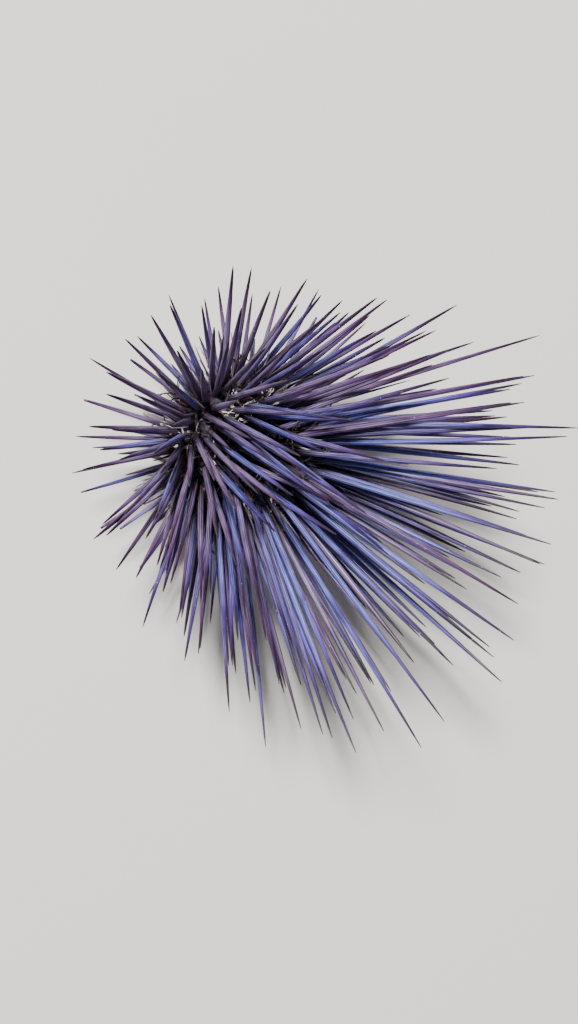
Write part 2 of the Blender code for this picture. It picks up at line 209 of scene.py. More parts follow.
def brace_spine(bearing, place, draw):
    tilt = mix(BRACE_TILT, place) + TILT_SCATTER * draw.uniform(-1, 1)
    aim = direction(bearing + BEARING_SCATTER * draw.uniform(-1, 1), tilt)
    return aim, mix(BRACE_LENGTH, place) * (1 - SHORTFALL * draw.uniform()), BRACE_RADIUS


def foot_spine(bearing, place, draw):
    tilt = math.pi - mix(FOOT_SPLAY, place) + FOOT_TILT_SCATTER * draw.uniform(-1, 1)
    return direction(bearing + BEARING_SCATTER * draw.uniform(-1, 1), tilt), 0.0, FOOT_RADIUS


def lay_spines():
    """Every primary spine: its sector, kind, place and root on the test, aim, length and root radius."""
    make = {"long": long_spine, "brace": brace_spine, "foot": foot_spine}
    draw = np.random.RandomState(SEED)
    laid = []
    for sector, middle, width in sectors():
        for row, (share, kind, place) in enumerate(spine_rows()):
            around, _ = surface_at(share)
            for offset in offsets_across(around, width, row):
                bearing = middle + offset / around
                aim, length, radius = make[kind](bearing, place, draw)
                laid.append(dict(
                    sector=sector, kind=kind, bearing=bearing, share=share, root=on_test(bearing, share),
                    aim=aim, length=length, radius=radius,
                ))
    return laid


def set_leaders(laid):
    """Gives each leader's aim and length to the free long spine that points nearest to it."""
    free = [spine for spine in laid if spine["kind"] == "long"]
    for bearing, tilt, length in LEADERS:
        aim = direction(math.radians(bearing), math.radians(tilt))
        nearest = max(free, key=lambda spine: spine["aim"] @ aim)
        nearest["aim"], nearest["length"] = aim, length * MM
        free = [spine for spine in free if spine is not nearest]


def width_along(share):
    """A needle's width at a share of its length, as a share of its root width."""
    shaft = 1 - (1 - SHOULDER_WIDTH) * share / SHAFT_SHARE
    point = SHOULDER_WIDTH * (1 - share) / (1 - SHAFT_SHARE)
    return np.where(share < SHAFT_SHARE, shaft, point)


def every(laid, key):
    """One value of every spine, as an array."""
    return np.array([spine[key] for spine in laid])


def spread_apart(laid, settled=0, clearance=SPINE_CLEARANCE):
    """Turns spines apart that come too near each other, and lets the feet down to the floor. The first ones,
    as many as settled says, stay as they are."""
    roots, aims = every(laid, "root"), every(laid, "aim")
    lengths, radii, foot = every(laid, "length"), every(laid, "radius"), every(laid, "kind") == "foot"
    turns = (np.arange(len(laid)) >= settled).astype(float)[:, None]
    one, two = np.triu_indices(len(laid), 1)
    loose = two >= settled
    one, two = one[loose], two[loose]
    for _ in range(MOST_ROUNDS):
        lengths[foot] = roots[foot, 2] / -aims[foot, 2]
        run_one, run_two = (aims * lengths[:, None])[[one, two]]
        between = roots[one] - roots[two]
        aa, bb, ab = (run_one**2).sum(1), (run_two**2).sum(1), (run_one * run_two).sum(1)
        ac, bc = (run_one * between).sum(1), (run_two * between).sum(1)
        at_one = np.clip((ab * bc - ac * bb) / np.maximum(aa * bb - ab * ab, LEAST_SQUARE), 0, 1)
        at_two = np.clip((ab * at_one + bc) / bb, 0, 1)
        at_one = np.clip((ab * at_two - ac) / aa, 0, 1)
        apart = between + run_one * at_one[:, None] - run_two * at_two[:, None]
        distance = np.linalg.norm(apart, axis=1)
        wide_one = radii[one] * np.where(foot[one], 1, width_along(at_one))
        wide_two = radii[two] * np.where(foot[two], 1, width_along(at_two))
        short = wide_one + wide_two + clearance - distance
        near = np.flatnonzero(short > 0)
        if not len(near):
            break
        push = apart[near] / distance[near, None] * (short[near, None] / 2 + TURN_MARGIN)
        for spines, at, way in ((one, at_one, push), (two, at_two, -push)):
            arm = np.maximum(at * lengths[spines], LEAST_ARM)[near, None]
            np.add.at(aims, spines[near], way / arm * turns[spines[near]])
        aims = unit(aims)
    for spine, aim, length in zip(laid, aims, lengths):
        spine["aim"], spine["length"] = aim, length


primaries = lay_spines()
set_leaders(primaries)
spread_apart(primaries)

# Younger long spines have grown in between the primary ones: they are thinner and shorter, and lie with the
# spines on either side of them. One that would have to turn far to find room is left out.
YOUNG_SEED = 5
YOUNG_SHARE = 0.26
YOUNG_LENGTH = (0.42, 0.86)
YOUNG_RADIUS = (0.36 * MM, 0.5 * MM)
YOUNG_TURN = 0.07
YOUNG_MOST_TURN = math.radians(11)
YOUNG_CLEARANCE = 0.1 * MM
SHARE_SCATTER = 0.02


def lay_young():
    """Thin spines half-way between two neighbours of one row of long or brace spines."""
    draw = np.random.RandomState(YOUNG_SEED)
    laid = []
    for one, two in zip(primaries, primaries[1:]):
        same_row = one["sector"] == two["sector"] and one["share"] == two["share"]
        if not same_row or one["kind"] == "foot" or draw.uniform() > YOUNG_SHARE:
            continue
        bearing = (one["bearing"] + two["bearing"]) / 2
        share = one["share"] + SHARE_SCATTER * draw.uniform(-1, 1)
        between = one["aim"] + two["aim"]
        aim = unit(between + YOUNG_TURN * draw.normal(size=3))
        length = min(one["length"], two["length"]) * mix(YOUNG_LENGTH, draw.uniform())
        laid.append(dict(
            sector=one["sector"], kind="young", bearing=bearing, share=share, root=on_test(bearing, share),
            aim=aim, length=length, radius=mix(YOUNG_RADIUS, draw.uniform()), between=unit(between),
        ))
    return laid


young = lay_young()
spread_apart(primaries + young, len(primaries), YOUNG_CLEARANCE)
young = [spine for spine in young if spine["aim"] @ spine["between"] > math.cos(YOUNG_MOST_TURN)]

# Secondary spines fill the space between the primary ones, like a low undergrowth on small tubercles of their
# own. They follow the spines next to them. The smallest, the miliaries, are bristles a few millimetres long.
SMALL_SEED = 8
# Kind, count, lengths, root radii, and room to the next spine.
SMALL_KINDS = [
    ("secondary", 520, (4.5 * MM, 11 * MM), (0.17 * MM, 0.27 * MM), 0.75 * MM),
    ("miliary", 900, (1.6 * MM, 3.6 * MM), (0.07 * MM, 0.12 * MM), 0.45 * MM),
]
SMALL_SHARES = (0.01, 0.985)
SMALL_LENGTH_POWER = 1.4
FACING_WEIGHT, GUIDE_WEIGHT, CHANCE_WEIGHT = 0.7, 0.75, 0.2
UNDER_SHARE = 0.72
UNDER_LENGTH = 0.4
FLOOR_ROOM = 0.4 * MM
TRIES = 40


def free_place(taken, room, draw, shares):
    """A bearing and share on the test, spread evenly over it, with nothing taken nearer than room."""
    for _ in range(TRIES):
        bearing, share = draw.uniform(0, math.tau), draw.uniform(*shares)
        radius, _ = surface_at(share)
        if draw.uniform() > radius / TEST_RADIUS:
            continue
        if (np.linalg.norm(np.array(taken) - on_test(bearing, share), axis=1) > room).all():
            break
    return bearing, share


def lay_small(kind, count, lengths, radii, room, taken, draw):
    """Small spines in free places, each leaning with the primary spine that stands nearest."""
    guide_roots = every(primaries, "root")
    laid = []
    for _ in range(count):
        bearing, share = free_place(taken, room, draw, SMALL_SHARES)
        root = on_test(bearing, share)
        taken.append(root)
        guide = primaries[int(np.argmin(np.linalg.norm(guide_roots - root, axis=1)))]["aim"]
        aim = FACING_WEIGHT * outward_at(bearing, share) + GUIDE_WEIGHT * guide
        aim = unit(aim + CHANCE_WEIGHT * draw.normal(size=3))
        length = mix(lengths, draw.uniform() ** SMALL_LENGTH_POWER)
        length *= UNDER_LENGTH if share > UNDER_SHARE else 1
        if aim[2] < 0:
            length = min(length, (root[2] - FLOOR_ROOM) / -aim[2])
        radius = mix(radii, draw.uniform())
        laid.append(dict(kind=kind, share=share, root=root, aim=aim, length=length, radius=radius))
    return laid


draw = np.random.RandomState(SMALL_SEED)
taken = [spine["root"] for spine in primaries + young]
secondaries, miliaries = [lay_small(*values, taken, draw) for values in SMALL_KINDS]

# The skin is a thin living tissue that covers the whole test and its bosses, down to the mouth: black-purple,
# moist and finely grained. It is one sheet, so no seam shows where the plates of the test meet.
SKIN_DEPTH = 0.45 * MM
SKIN_TURNS = 440
SKIN_STATIONS = 130
# Reach and rise of the boss under each kind of spine.
BOSS = {
    "long": (1.25 * MM, 0.42 * MM), "brace": (1.05 * MM, 0.38 * MM), "foot": (0.95 * MM, 0.34 * MM),
    "young": (0.9 * MM, 0.3 * MM), "secondary": (0.55 * MM, 0.2 * MM), "miliary": (0.3 * MM, 0.1 * MM),
}
BOSS_STATIONS = 8
BOSS_POWER = 1.3
FURROW_DEPTH = 0.14 * MM
FURROW_WIDTH = 0.5 * MM
# Where the sheet tucks in under the apical plates and over the mouth: share of the opening's radius, and
# height over its edge in millimetres.
TUCK_ABOVE = [(0.25, -0.75), (0.6, -0.75), (0.92, -0.65)]
TUCK_BELOW = [(0.98, 0.15), (0.85, 0.9), (0.3, 0.9)]
SKIN_GRAIN = 0.22 * MM
SKIN_PATCH = 3.0 * MM


def linear(code):
    """The linear colour of an sRGB hex value."""
    parts = [int(code[i : i + 2], 16) / 255 for i in (1, 3, 5)]
    return (*[p / 12.92 if p <= 0.04045 else ((p + 0.055) / 1.055) ** 2.4 for p in parts], 1)


def set_node(node, settings):
    """Sets a node's options, ramp stops and inputs. An input that is given a socket is linked to it."""
    for key, value in settings.items():
        if key == "stops":
            stops = node.color_ramp.elements
            while len(stops) < len(value):
                stops.new(0.5)
            for stop, (place, colour) in zip(stops, value):
                stop.position = place
                stop.color = linear(colour) if isinstance(colour, str) else (colour, colour, colour, 1)
        elif isinstance(key, str) and key.islower():
            setattr(node, key, value)
        elif isinstance(value, bpy.types.NodeSocket):
            node.id_data.links.new(value, node.inputs[key])
        else:
            node.inputs[key].default_value = value


def add_node(tree, kind, settings=None, output=None):
    """Adds a shader node with its settings and links. Returns the named output, or the first one in use."""
    node = tree.nodes.new("ShaderNode" + kind)
    set_node(node, settings or {})
    return node.outputs[output] if output else next(each for each in node.outputs if each.enabled)


def new_material(name):
    """A material, a function that adds nodes to it, and its shader."""
    made = bpy.data.materials.new(name)
    made.use_nodes = True
    tree = made.node_tree
    return made, functools.partial(add_node, tree), tree.nodes["Principled BSDF"]


def mottled_skin(name, patches, stops, kind, grain, relief, surface):
    """A skin material with its tone in patches, and a grain from a texture of this kind in relief."""
    made, add, shader = new_material(name)
    place = add("NewGeometry")
    tone = add("ValToRGB", {"stops": stops, "Fac": add("TexNoise", {**patches, "Vector": place})})
    bumps = add("Bump", {**relief, "Height": add(kind, {**grain, "Vector": place})})
    set_node(shader, {**surface, "Base Color": tone, "Normal": bumps})
    return made


def add_piece(name, verts, faces, material, nodes=()):
    """A mesh piece of the animal that rides on it, in place of the named solids."""
    mesh = bpy.data.meshes.new(name)
    mesh.from_pydata((verts + TEST_AXIS).tolist(), [], faces)
    mesh.shade_smooth()
    mesh.materials.append(material)
    piece = bpy.data.objects.new(name, mesh)
    bpy.context.scene.collection.objects.link(piece)
    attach(piece, "root")
    if nodes:
        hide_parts(*nodes)
    return piece


def circle(turns):
    """Level directions all round, evenly spaced."""
    return np.array([direction(bearing) for bearing in np.arange(turns) * math.tau / turns])


def level_rings(profile, turns):
    """A level ring of points for each radius and height of the profile."""
    return [circle(turns) * radius + UP * height for radius, height in profile]


def corners(grids):
    """The four corners of each cell of every grid, in turn."""
    return np.stack([grids[:, :-1, :-1], grids[:, :-1, 1:], grids[:, 1:, 1:], grids[:, 1:, :-1]], 3)


def ring_faces(rings, turns):
    """Quads between neighbouring rings of points, and a face over the first ring and the last."""
    index = np.arange(rings * turns).reshape(rings, turns)
    quads = corners(np.hstack([index, index[:, :1]]).T[None]).reshape(-1, 4)
    return [*quads.tolist(), index[0].tolist(), index[-1, ::-1].tolist()]


def skin_rings():
    """The skin over the side of the test, raised in a boss under each spine and furrowed between sectors."""
    radii, heights = surface_at(np.linspace(0, 1, SKIN_STATIONS))
    run_r, run_z = np.gradient(radii), np.gradient(heights)
    out, up = -run_z / np.hypot(run_r, run_z), run_r / np.hypot(run_r, run_z)
    flat = circle(SKIN_TURNS)[None]
    base = flat * radii[:, None, None] + UP * heights[:, None, None]
    facing = flat * out[:, None, None] + UP * up[:, None, None]
    lift = np.zeros(base.shape[:2])
    for spine in primaries + young + secondaries + miliaries:
        reach, rise = BOSS[spine["kind"]]
        station = int(round(spine["share"] * (SKIN_STATIONS - 1)))
        rows = slice(max(station - BOSS_STATIONS, 0), station + BOSS_STATIONS + 1)
        away = np.linalg.norm(base[rows] - spine["root"], axis=2) / reach
        lift[rows] = np.maximum(lift[rows], rise * np.clip(1 - away**2, 0, 1) ** BOSS_POWER)
    bearings = np.arange(SKIN_TURNS) * math.tau / SKIN_TURNS
    for _, middle, width in sectors():
        turned = (bearings - middle - width / 2 + math.pi) % math.tau - math.pi
        away = np.abs(turned)[None] * radii[:, None] / FURROW_WIDTH
        lift -= FURROW_DEPTH * np.exp(-(away**2))
    return list(base + facing * (lift - SKIN_DEPTH)[:, :, None])


above = [(APICAL_RADIUS * share, TEST_TOP + rise * MM) for share, rise in TUCK_ABOVE]
below = [(PERISTOME_RADIUS * share, RIM_CLEARANCE + rise * MM) for share, rise in TUCK_BELOW]
rings = level_rings(above, SKIN_TURNS) + skin_rings() + level_rings(below, SKIN_TURNS)

# Moist epidermis: nearly black with a purple cast, mottled maroon, with a soft gloss on a fine grain.
epidermis = mottled_skin(
    "moist_epidermis", {"Scale": 1 / SKIN_PATCH, "Detail": 4.0},
    [(0.3, "#0A050D"), (0.5, "#160C1E"), (0.62, "#24141F"), (0.78, "#120A1A")],
    "TexVoronoi", {"Scale": 1 / SKIN_GRAIN}, {"Strength": 0.5, "Distance": 0.08 * MM},
    {"Roughness": 0.5, "IOR": 1.38, "Specular IOR Level": 0.3},
)

sector_nodes = [name for name, _, _ in sectors()]
skin_faces = ring_faces(len(rings), SKIN_TURNS)
add_piece("test_skin", np.concatenate(rings), skin_faces, epidermis, sector_nodes)

# The crown spines are long, brittle needles of calcite under a film of skin. Each turns on a ball joint over
# its boss, with a milled ring round its base, and its shaft is finely ribbed from the ring to the point.
RIBS = 8
LONG_SIDES = 2 * RIBS
LONG_SHAFT_RINGS = 22
RIB_DEPTH = 0.1
RIB_START = 1.2 * MM
RIB_FADE = 3 * MM
BOW_SHARE = 0.007
WIDTH_SPREAD = 0.1
BROKEN_SHARE = 0.1
BROKEN_LENGTH = (0.06, 0.2)
LOOK_SEED = 3
STRIP_SLIMNESS = 12
STRIP_SIDE = 0.07
STRIP_END = 0.05
STRIP_CAP = (0.3, 0.018)
FLANK_MAUVE_AND_SHADE = 0.5
SLATE_MIDDLE = 0.72
MOST_MAUVE = 0.4
# The ring's profile has ways along it in millimetres, the shaft's has shares of the spine's length, and both
# have widths as shares of the root radius.
COLLAR = [
    (-0.7, 0.5), (-0.1, 0.58), (0.3, 0.84), (0.55, 1.08), (0.85, 1.1), (1.1, 0.92), (1.6, 0.86), (2.6, 0.9),
]
SHAFT_WIDTHS = [
    (0.0, 0.9), (0.15, 0.87), (0.3, 0.82), (0.5, 0.75), (0.65, 0.65), (0.78, 0.51), (0.88, 0.38),
    (0.95, 0.28), (0.985, 0.2), (1.0, 0.1),
]
# Place along the spine, and the colour there of a slate spine and of a mauve one.
SHAFT_TONES = [
    (0.0, "#2E2530", "#2C222A"), (0.03, "#493D4C", "#463842"), (0.08, "#5D5368", "#5F505C"),
    (0.15, "#5F5B87", "#66576C"), (0.27, "#6065A5", "#6E5F7A"), (0.45, "#6369A8", "#726280"),
    (0.62, "#5A579C", "#684F72"), (0.78, "#433273", "#462A50"), (0.88, "#28123A", "#2C0F28"),
    (1.0, "#18081E", "#1B0815"),
]
TONE_WANDER = 0.22
LIGHT_TINT_WANDER = 0.6
SIDE_SCALE = 0.8
OWN_TONE = 0.14
STREAK_WIDTH = 0.24 * MM
STREAK_LENGTH = 14 * MM
BAND_LENGTH = 16 * MM
BAND_RAG = 0.5
SPECK_SIZE = 0.22 * MM
SPECK_SPACING = 1.7 * MM
SPECK_CORE = 0.7
RIB_WIDTH = 0.16 * MM
RIB_STRETCH = 0.3
FAR_APART = 100.0
NEARLY_UPRIGHT = 0.9


def stations_of(spine, shaft_rings, broken=0.0):
    """Ways along a spine in metres, and its radius at each: its sunk root, ring and neck, then its shaft."""
    length, radius = spine["length"] * (1 - broken), spine["radius"]
    collar_runs, collar_widths = np.array(COLLAR).T
    collar_runs = collar_runs * MM * min(1, radius / LONG_RADIUS)
    shares = np.linspace(0, 1, shaft_rings + 1)[1:]
    runs = collar_runs[-1] + (length - collar_runs[-1]) * shares
    shaft_widths = np.interp(runs / spine["length"], *zip(*SHAFT_WIDTHS))
    return np.concatenate([collar_runs, runs]), radius * np.concatenate([collar_widths, shaft_widths])


def swept(paths, radii, sides, ribs):
    """Closed rods round paths of rods x stations x 3 numbers. Returns points, faces and the sides' turns."""
    count, stations, _ = paths.shape
    along = unit(np.gradient(paths, axis=1))
    spare = np.where(np.abs(along[:, 0, 2:]) > NEARLY_UPRIGHT, [[1.0, 0.0, 0.0]], [UP])
    across = np.cross(along[:, 0], spare)
    frames = np.empty((count, stations, 2, 3))
    for i in range(stations):
        across = unit(across - along[:, i] * (across * along[:, i]).sum(1)[:, None])
        frames[:, i, 0], frames[:, i, 1] = across, np.cross(along[:, i], across)
    turn = circle(sides)[:, :2]
    wide = np.repeat(radii[:, :, None], sides, 2)
    if ribs is not None:
        wide = wide * (1 + ribs[:, :, None] * np.where(np.arange(sides) % 2, -1, 1))
    points = paths[:, :, None] + np.einsum("sk,nrkx->nrsx", turn, frames) * wide[..., None]
    index = np.arange(count * stations * sides).reshape(count, stations, sides)
    quads = corners(np.concatenate([index, index[:, :, :1]], 2)).reshape(-1, 4)
    faces = [*quads.tolist(), *index[:, 0, ::-1].tolist(), *index[:, -1].tolist()]
    return points.reshape(-1, 3), faces, turn


def strip_map(count, stations, sides):
    """A flat map in which each rod has an upright strip of its own, in the order in which they grow."""
    high = max(1, int(round(math.sqrt(count / STRIP_SLIMNESS))))
    across = math.ceil(count / high)
    column, row = np.arange(count) // high, np.arange(count) % high
    around = mix((STRIP_SIDE, 1 - STRIP_SIDE), np.arange(sides + 1) / sides)
    up = mix((STRIP_END, 1 - STRIP_END), np.arange(stations) / (stations - 1))
    u = (column[:, None, None] + around[None, None]) / across * np.ones((1, stations, 1))
    v = (row[:, None, None] + up[None, :, None]) / high * np.ones((1, 1, sides + 1))
    quads = corners(np.stack([u, v], -1))
    cap = np.stack([np.cos(around * math.tau), np.sin(around * math.tau)], -1)[:-1] * STRIP_CAP
    ends = []
    for height, ring in ((STRIP_END / 2, cap[::-1]), (1 - STRIP_END / 2, cap)):
        ends.append(np.stack([column + 0.5, row + height], -1)[:, None] + ring)
    return np.concatenate([quads.reshape(-1, 2), (np.concatenate(ends) / [across, high]).reshape(-1, 2)])


def add_rods(name, batches, material, nodes):
    """One piece of many closed rods. Each batch holds paths, radii, sides, ribs, runs and lots of like rods.
    Run keeps the turn round the rod and the way along it in millimetres, and Lot its hue, seed and share."""
    verts, faces, spots, kept, first = [], [], [], {"Run": [], "Lot": []}, 0
    for tile, (paths, radii, sides, ribs, runs, lots) in enumerate(batches):
        points, made, turn = swept(paths, radii, sides, ribs)
        verts.append(points)
        faces += [tuple(first + i for i in face) for face in made]
        first += len(points)
        run, lot = np.empty((2, *runs.shape, sides, 3))
        run[..., :2], run[..., 2] = turn, runs[:, :, None] / MM
        lot[..., :2], lot[..., 2] = lots[:, None, None, :2], (runs / lots[:, 2:])[:, :, None]
        kept["Run"].append(run.reshape(-1, 3))
        kept["Lot"].append(lot.reshape(-1, 3))
        spots.append((strip_map(*runs.shape, sides) + [tile, 0]) / [len(batches), 1])
    piece = add_piece(name, np.concatenate(verts), faces, material, nodes)
    for key, values in kept.items():
        attribute = piece.data.attributes.new(key, "FLOAT_VECTOR", "POINT")
        attribute.data.foreach_set("vector", np.concatenate(values).astype(np.float32).ravel())
    chart = piece.data.uv_layers.new(name="OFBake")
    chart.uv.foreach_set("vector", np.concatenate(spots).astype(np.float32).ravel())
    return piece


def spine_batch(laid, shaft_rings, sides, rib_depth, draw, broken_share=0.0, bow_share=BOW_SHARE):
    """Spines with a slight bow, and widths that vary a little. A share of them have lost their points."""
    runs, radii = [], []
    for spine in laid:
        lost = draw.uniform(*BROKEN_LENGTH) if draw.uniform() < broken_share else 0.0
        run, wide = stations_of(spine, shaft_rings, lost)
        runs.append(run)
        radii.append(wide * (1 + WIDTH_SPREAD * draw.uniform(-1, 1)))
    runs, count = np.array(runs), len(laid)
    roots, aims, lengths = every(laid, "root"), every(laid, "aim"), every(laid, "length")
    sideways = unit(np.cross(aims, draw.normal(size=aims.shape)))
    bow = np.sin(np.clip(runs / lengths[:, None], 0, 1) * math.pi) * lengths[:, None] * bow_share
    bow *= draw.uniform(-1, 1, (count, 1))
    paths = roots[:, None] + aims[:, None] * runs[:, :, None] + sideways[:, None] * bow[:, :, None]
    ribs = rib_depth * np.clip((runs - RIB_START) / RIB_FADE, 0, 1)
    # Spines aimed to the flanks and the closed back lean to mauve: partly an older skin, partly painted shade
    # such as a burrow's rock casts on them.
    openness = np.cos(np.arctan2(aims[:, 1], aims[:, 0]) - OPEN_BEARING)
    hues = draw.uniform(size=count) + np.minimum(FLANK_MAUVE_AND_SHADE * (SLATE_MIDDLE - openness), MOST_MAUVE)
    lots = np.stack([hues, draw.uniform(size=count), lengths], 1)
    return paths, np.array(radii), sides, ribs, runs, lots


def rod_parts(add, key):
    """The three numbers that each point of a rod keeps under this name."""
    kept = add("Attribute", {"attribute_name": key}, "Vector")
    return add("SeparateXYZ", {"Vector": kept}).node.outputs


# Calcite under a film of live skin: slate blue to mauve, streaked along the ribs, purple in patches and
# bands, nearly black at the point, with a soft wet sheen. The ribs' grain is a little coarser than real.
# Some of the colour is painted light: highlights in the pale streaks, shade in the furrows between the
# ribs, and a bluer and a mauver side to each spine.
skinned_calcite, add, shader = new_material("skinned_calcite")
turn_x, turn_y, along = rod_parts(add, "Run")
hue, seed, share = rod_parts(add, "Lot")
far = add("Math", {"operation": "MULTIPLY", 0: seed, 1: FAR_APART})
slow = add("Math", {"operation": "MULTIPLY_ADD", 0: along, 1: MM / STREAK_LENGTH, 2: far})
round_spine = add("CombineXYZ", {"X": turn_x, "Y": turn_y, "Z": slow})
streaks = add("TexNoise", {
    "Scale": LONG_RADIUS / STREAK_WIDTH, "Detail": 3.0, "Roughness": 0.6, "Vector": round_spine,
})
band_slow = add("Math", {"operation": "MULTIPLY_ADD", 0: along, 1: MM / BAND_LENGTH, 2: far})
band_place = add("Math", {"operation": "MULTIPLY_ADD", 0: streaks, 1: BAND_RAG, 2: band_slow})
bands = add("TexNoise", {
    "noise_dimensions": "1D", "Scale": 1.0, "Detail": 2.0, "Roughness": 0.5, "W": band_place,
})
wander = add("Math", {"operation": "MULTIPLY_ADD", 0: bands, 1: TONE_WANDER, 2: -TONE_WANDER / 2})
ramp_place = add("Math", {"operation": "ADD", 0: share, 1: wander})
slate = add("ValToRGB", {"stops": [(at, tone) for at, tone, _ in SHAFT_TONES], "Fac": ramp_place})
mauve = add("ValToRGB", {"stops": [(at, tone) for at, _, tone in SHAFT_TONES], "Fac": ramp_place})
# Painted light: round each spine the hue drifts between slate and mauve, one side bluer and the other mauver,
# standing in for light of two tints falling on either side.
side_place = add("VectorMath", {"operation": "SCALE", 0: round_spine, "Scale": SIDE_SCALE})
light_tint_noise = add("TexNoise", {"Scale": 1.0, "Detail": 1.0, "Vector": side_place})
hue_place = add("Math", {"operation": "MULTIPLY_ADD", 0: light_tint_noise, 1: LIGHT_TINT_WANDER, 2: hue})
hue_ramp = add("ValToRGB", {"stops": [(0.65, 0.0), (1.0, 1.0)], "Fac": hue_place})
base = add("Mix", {"data_type": "RGBA", 0: hue_ramp, 6: slate, 7: mauve})
# Streaks along each shaft: partly the calcite's fine striae and partly painted light. The palest are painted
# highlights up to 1.6 times brighter, the darkest painted shade.
tone_place = add("Math", {"operation": "MULTIPLY_ADD", 0: seed, 1: OWN_TONE, 2: streaks})
streak_and_highlight_tone = add("ValToRGB", {
    "stops": [(0.37, "#8B7C95"), (0.5, 0.82), (0.62, 1.06), (0.77, 1.6)], "Fac": tone_place,
})
# Painted shade and highlight on the ribs: each furrow between them is dimmed to purple and each crest is lit
# up by a quarter.
turn = add("Math", {"operation": "ARCTAN2", 0: turn_y, 1: turn_x})
rib_turn = add("Math", {"operation": "MULTIPLY", 0: turn, 1: float(RIBS)})
rib_wave = add("Math", {"operation": "COSINE", 0: rib_turn})
rib_height = add("Math", {"operation": "MULTIPLY_ADD", 0: rib_wave, 1: 0.5, 2: 0.5})
rib_shade_and_highlight = add("ValToRGB", {"stops": [(0.0, "#9C86AA"), (0.65, 1.25)], "Fac": rib_height})
for tint in (streak_and_highlight_tone, rib_shade_and_highlight):
    base = add("Mix", {"data_type": "RGBA", "blend_type": "MULTIPLY", 0: 1.0, 6: base, 7: tint})
band_ramp = add("ValToRGB", {"stops": [(0.63, 0.0), (0.72, 0.65)], "Fac": bands})
banded = add("Mix", {"data_type": "RGBA", 0: band_ramp, 6: base, 7: linear("#2A1C4C")})
place = add("NewGeometry")
specks = add("TexVoronoi", {"Scale": 1 / SPECK_SPACING, "Vector": place})
speck_edge = SPECK_SIZE / 2 / SPECK_SPACING
speck_stops = [(SPECK_CORE * speck_edge, 1.0), (speck_edge, 0.0)]
speck_ramp = add("ValToRGB", {"stops": speck_stops, "Fac": specks})
specked = add("Mix", {"data_type": "RGBA", 0: speck_ramp, 6: banded, 7: linear("#C9C6CF")})
rib_slow = add("Math", {"operation": "MULTIPLY", 0: slow, 1: RIB_STRETCH})
rib_place = add("CombineXYZ", {"X": turn_x, "Y": turn_y, "Z": rib_slow})
rib_grain = add("TexNoise", {"Scale": LONG_RADIUS / RIB_WIDTH, "Detail": 2.0, "Vector": rib_place})
relief = add("Bump", {"Strength": 0.45, "Distance": 0.06 * MM, "Height": rib_grain})
gloss = add("MapRange", {"To Min": 0.3, "To Max": 0.55, "Value": streaks})
set_node(shader, {"IOR": 1.49, "Base Color": specked, "Roughness": gloss, "Normal": relief})

draw = np.random.RandomState(LOOK_SEED)
for i in range(SECTOR_PAIRS):
    pair = (f"interambulacrum_{i + 1}", f"ambulacrum_{i + 1}")
    grown = [spine for spine in primaries if spine["kind"] == "long" and spine["sector"] in pair]
    thin = [spine for spine in young if spine["sector"] in pair]
    full = spine_batch(grown, LONG_SHAFT_RINGS, LONG_SIDES, RIB_DEPTH, draw)
    slim = spine_batch(thin, LONG_SHAFT_RINGS, LONG_SIDES, RIB_DEPTH, draw, BROKEN_SHARE)
    add_rods(f"crown_spines_{i + 1}", [full, slim], skinned_calcite, pair)

# The brace spines stand out round the side and press on the walls of the burrow. They are made as the crown
# spines are, shorter and stouter, with worn points.
BRACE_SHAFT_RINGS = 14
BRACE_BROKEN_SHARE = 0.3
braces = [spine for spine in primaries if spine["kind"] == "brace"]
brace_batch = spine_batch(braces, BRACE_SHAFT_RINGS, LONG_SIDES, RIB_DEPTH, draw, BRACE_BROKEN_SHARE)
add_rods("brace_spines", [brace_batch], skinned_calcite, sector_nodes)

# The foot spines carry the animal. They are short and blunt, worn flat where they stand on the floor, and
# paler towards the end, where the skin has rubbed off the calcite.
FOOT_SIDES = 14
FOOT_RINGS = 9
FOOT_RIB_DEPTH = 0.03
FOOT_WIDTHS = [(0.0, 1.0), (0.6, 0.86), (0.86, 0.8), (1.0, 0.72)]
FOOT_STREAK_LENGTH = 3 * MM
WORN_WANDER = 0.5


def foot_batch(laid, draw):
    """Blunt spines whose last ring is cut level with the floor."""
    collar_runs, collar_widths = np.array(COLLAR[:-1]).T
    collar_runs = collar_runs * MM * FOOT_RADIUS / LONG_RADIUS
    shares = np.linspace(0, 1, FOOT_RINGS + 1)[1:]
    radii = FOOT_RADIUS * np.concatenate([collar_widths, np.interp(shares, *zip(*FOOT_WIDTHS))])
    count, lengths = len(laid), every(laid, "length")
    shafts = collar_runs[-1] + (lengths[:, None] - collar_runs[-1]) * shares
    runs = np.concatenate([np.tile(collar_runs, (count, 1)), shafts], 1)
    paths = every(laid, "root")[:, None] + every(laid, "aim")[:, None] * runs[:, :, None]
    lots = np.stack([draw.uniform(size=count), draw.uniform(size=count), lengths], 1)
    return paths, np.tile(radii, (count, 1)), FOOT_SIDES, np.full(runs.shape, FOOT_RIB_DEPTH), runs, lots


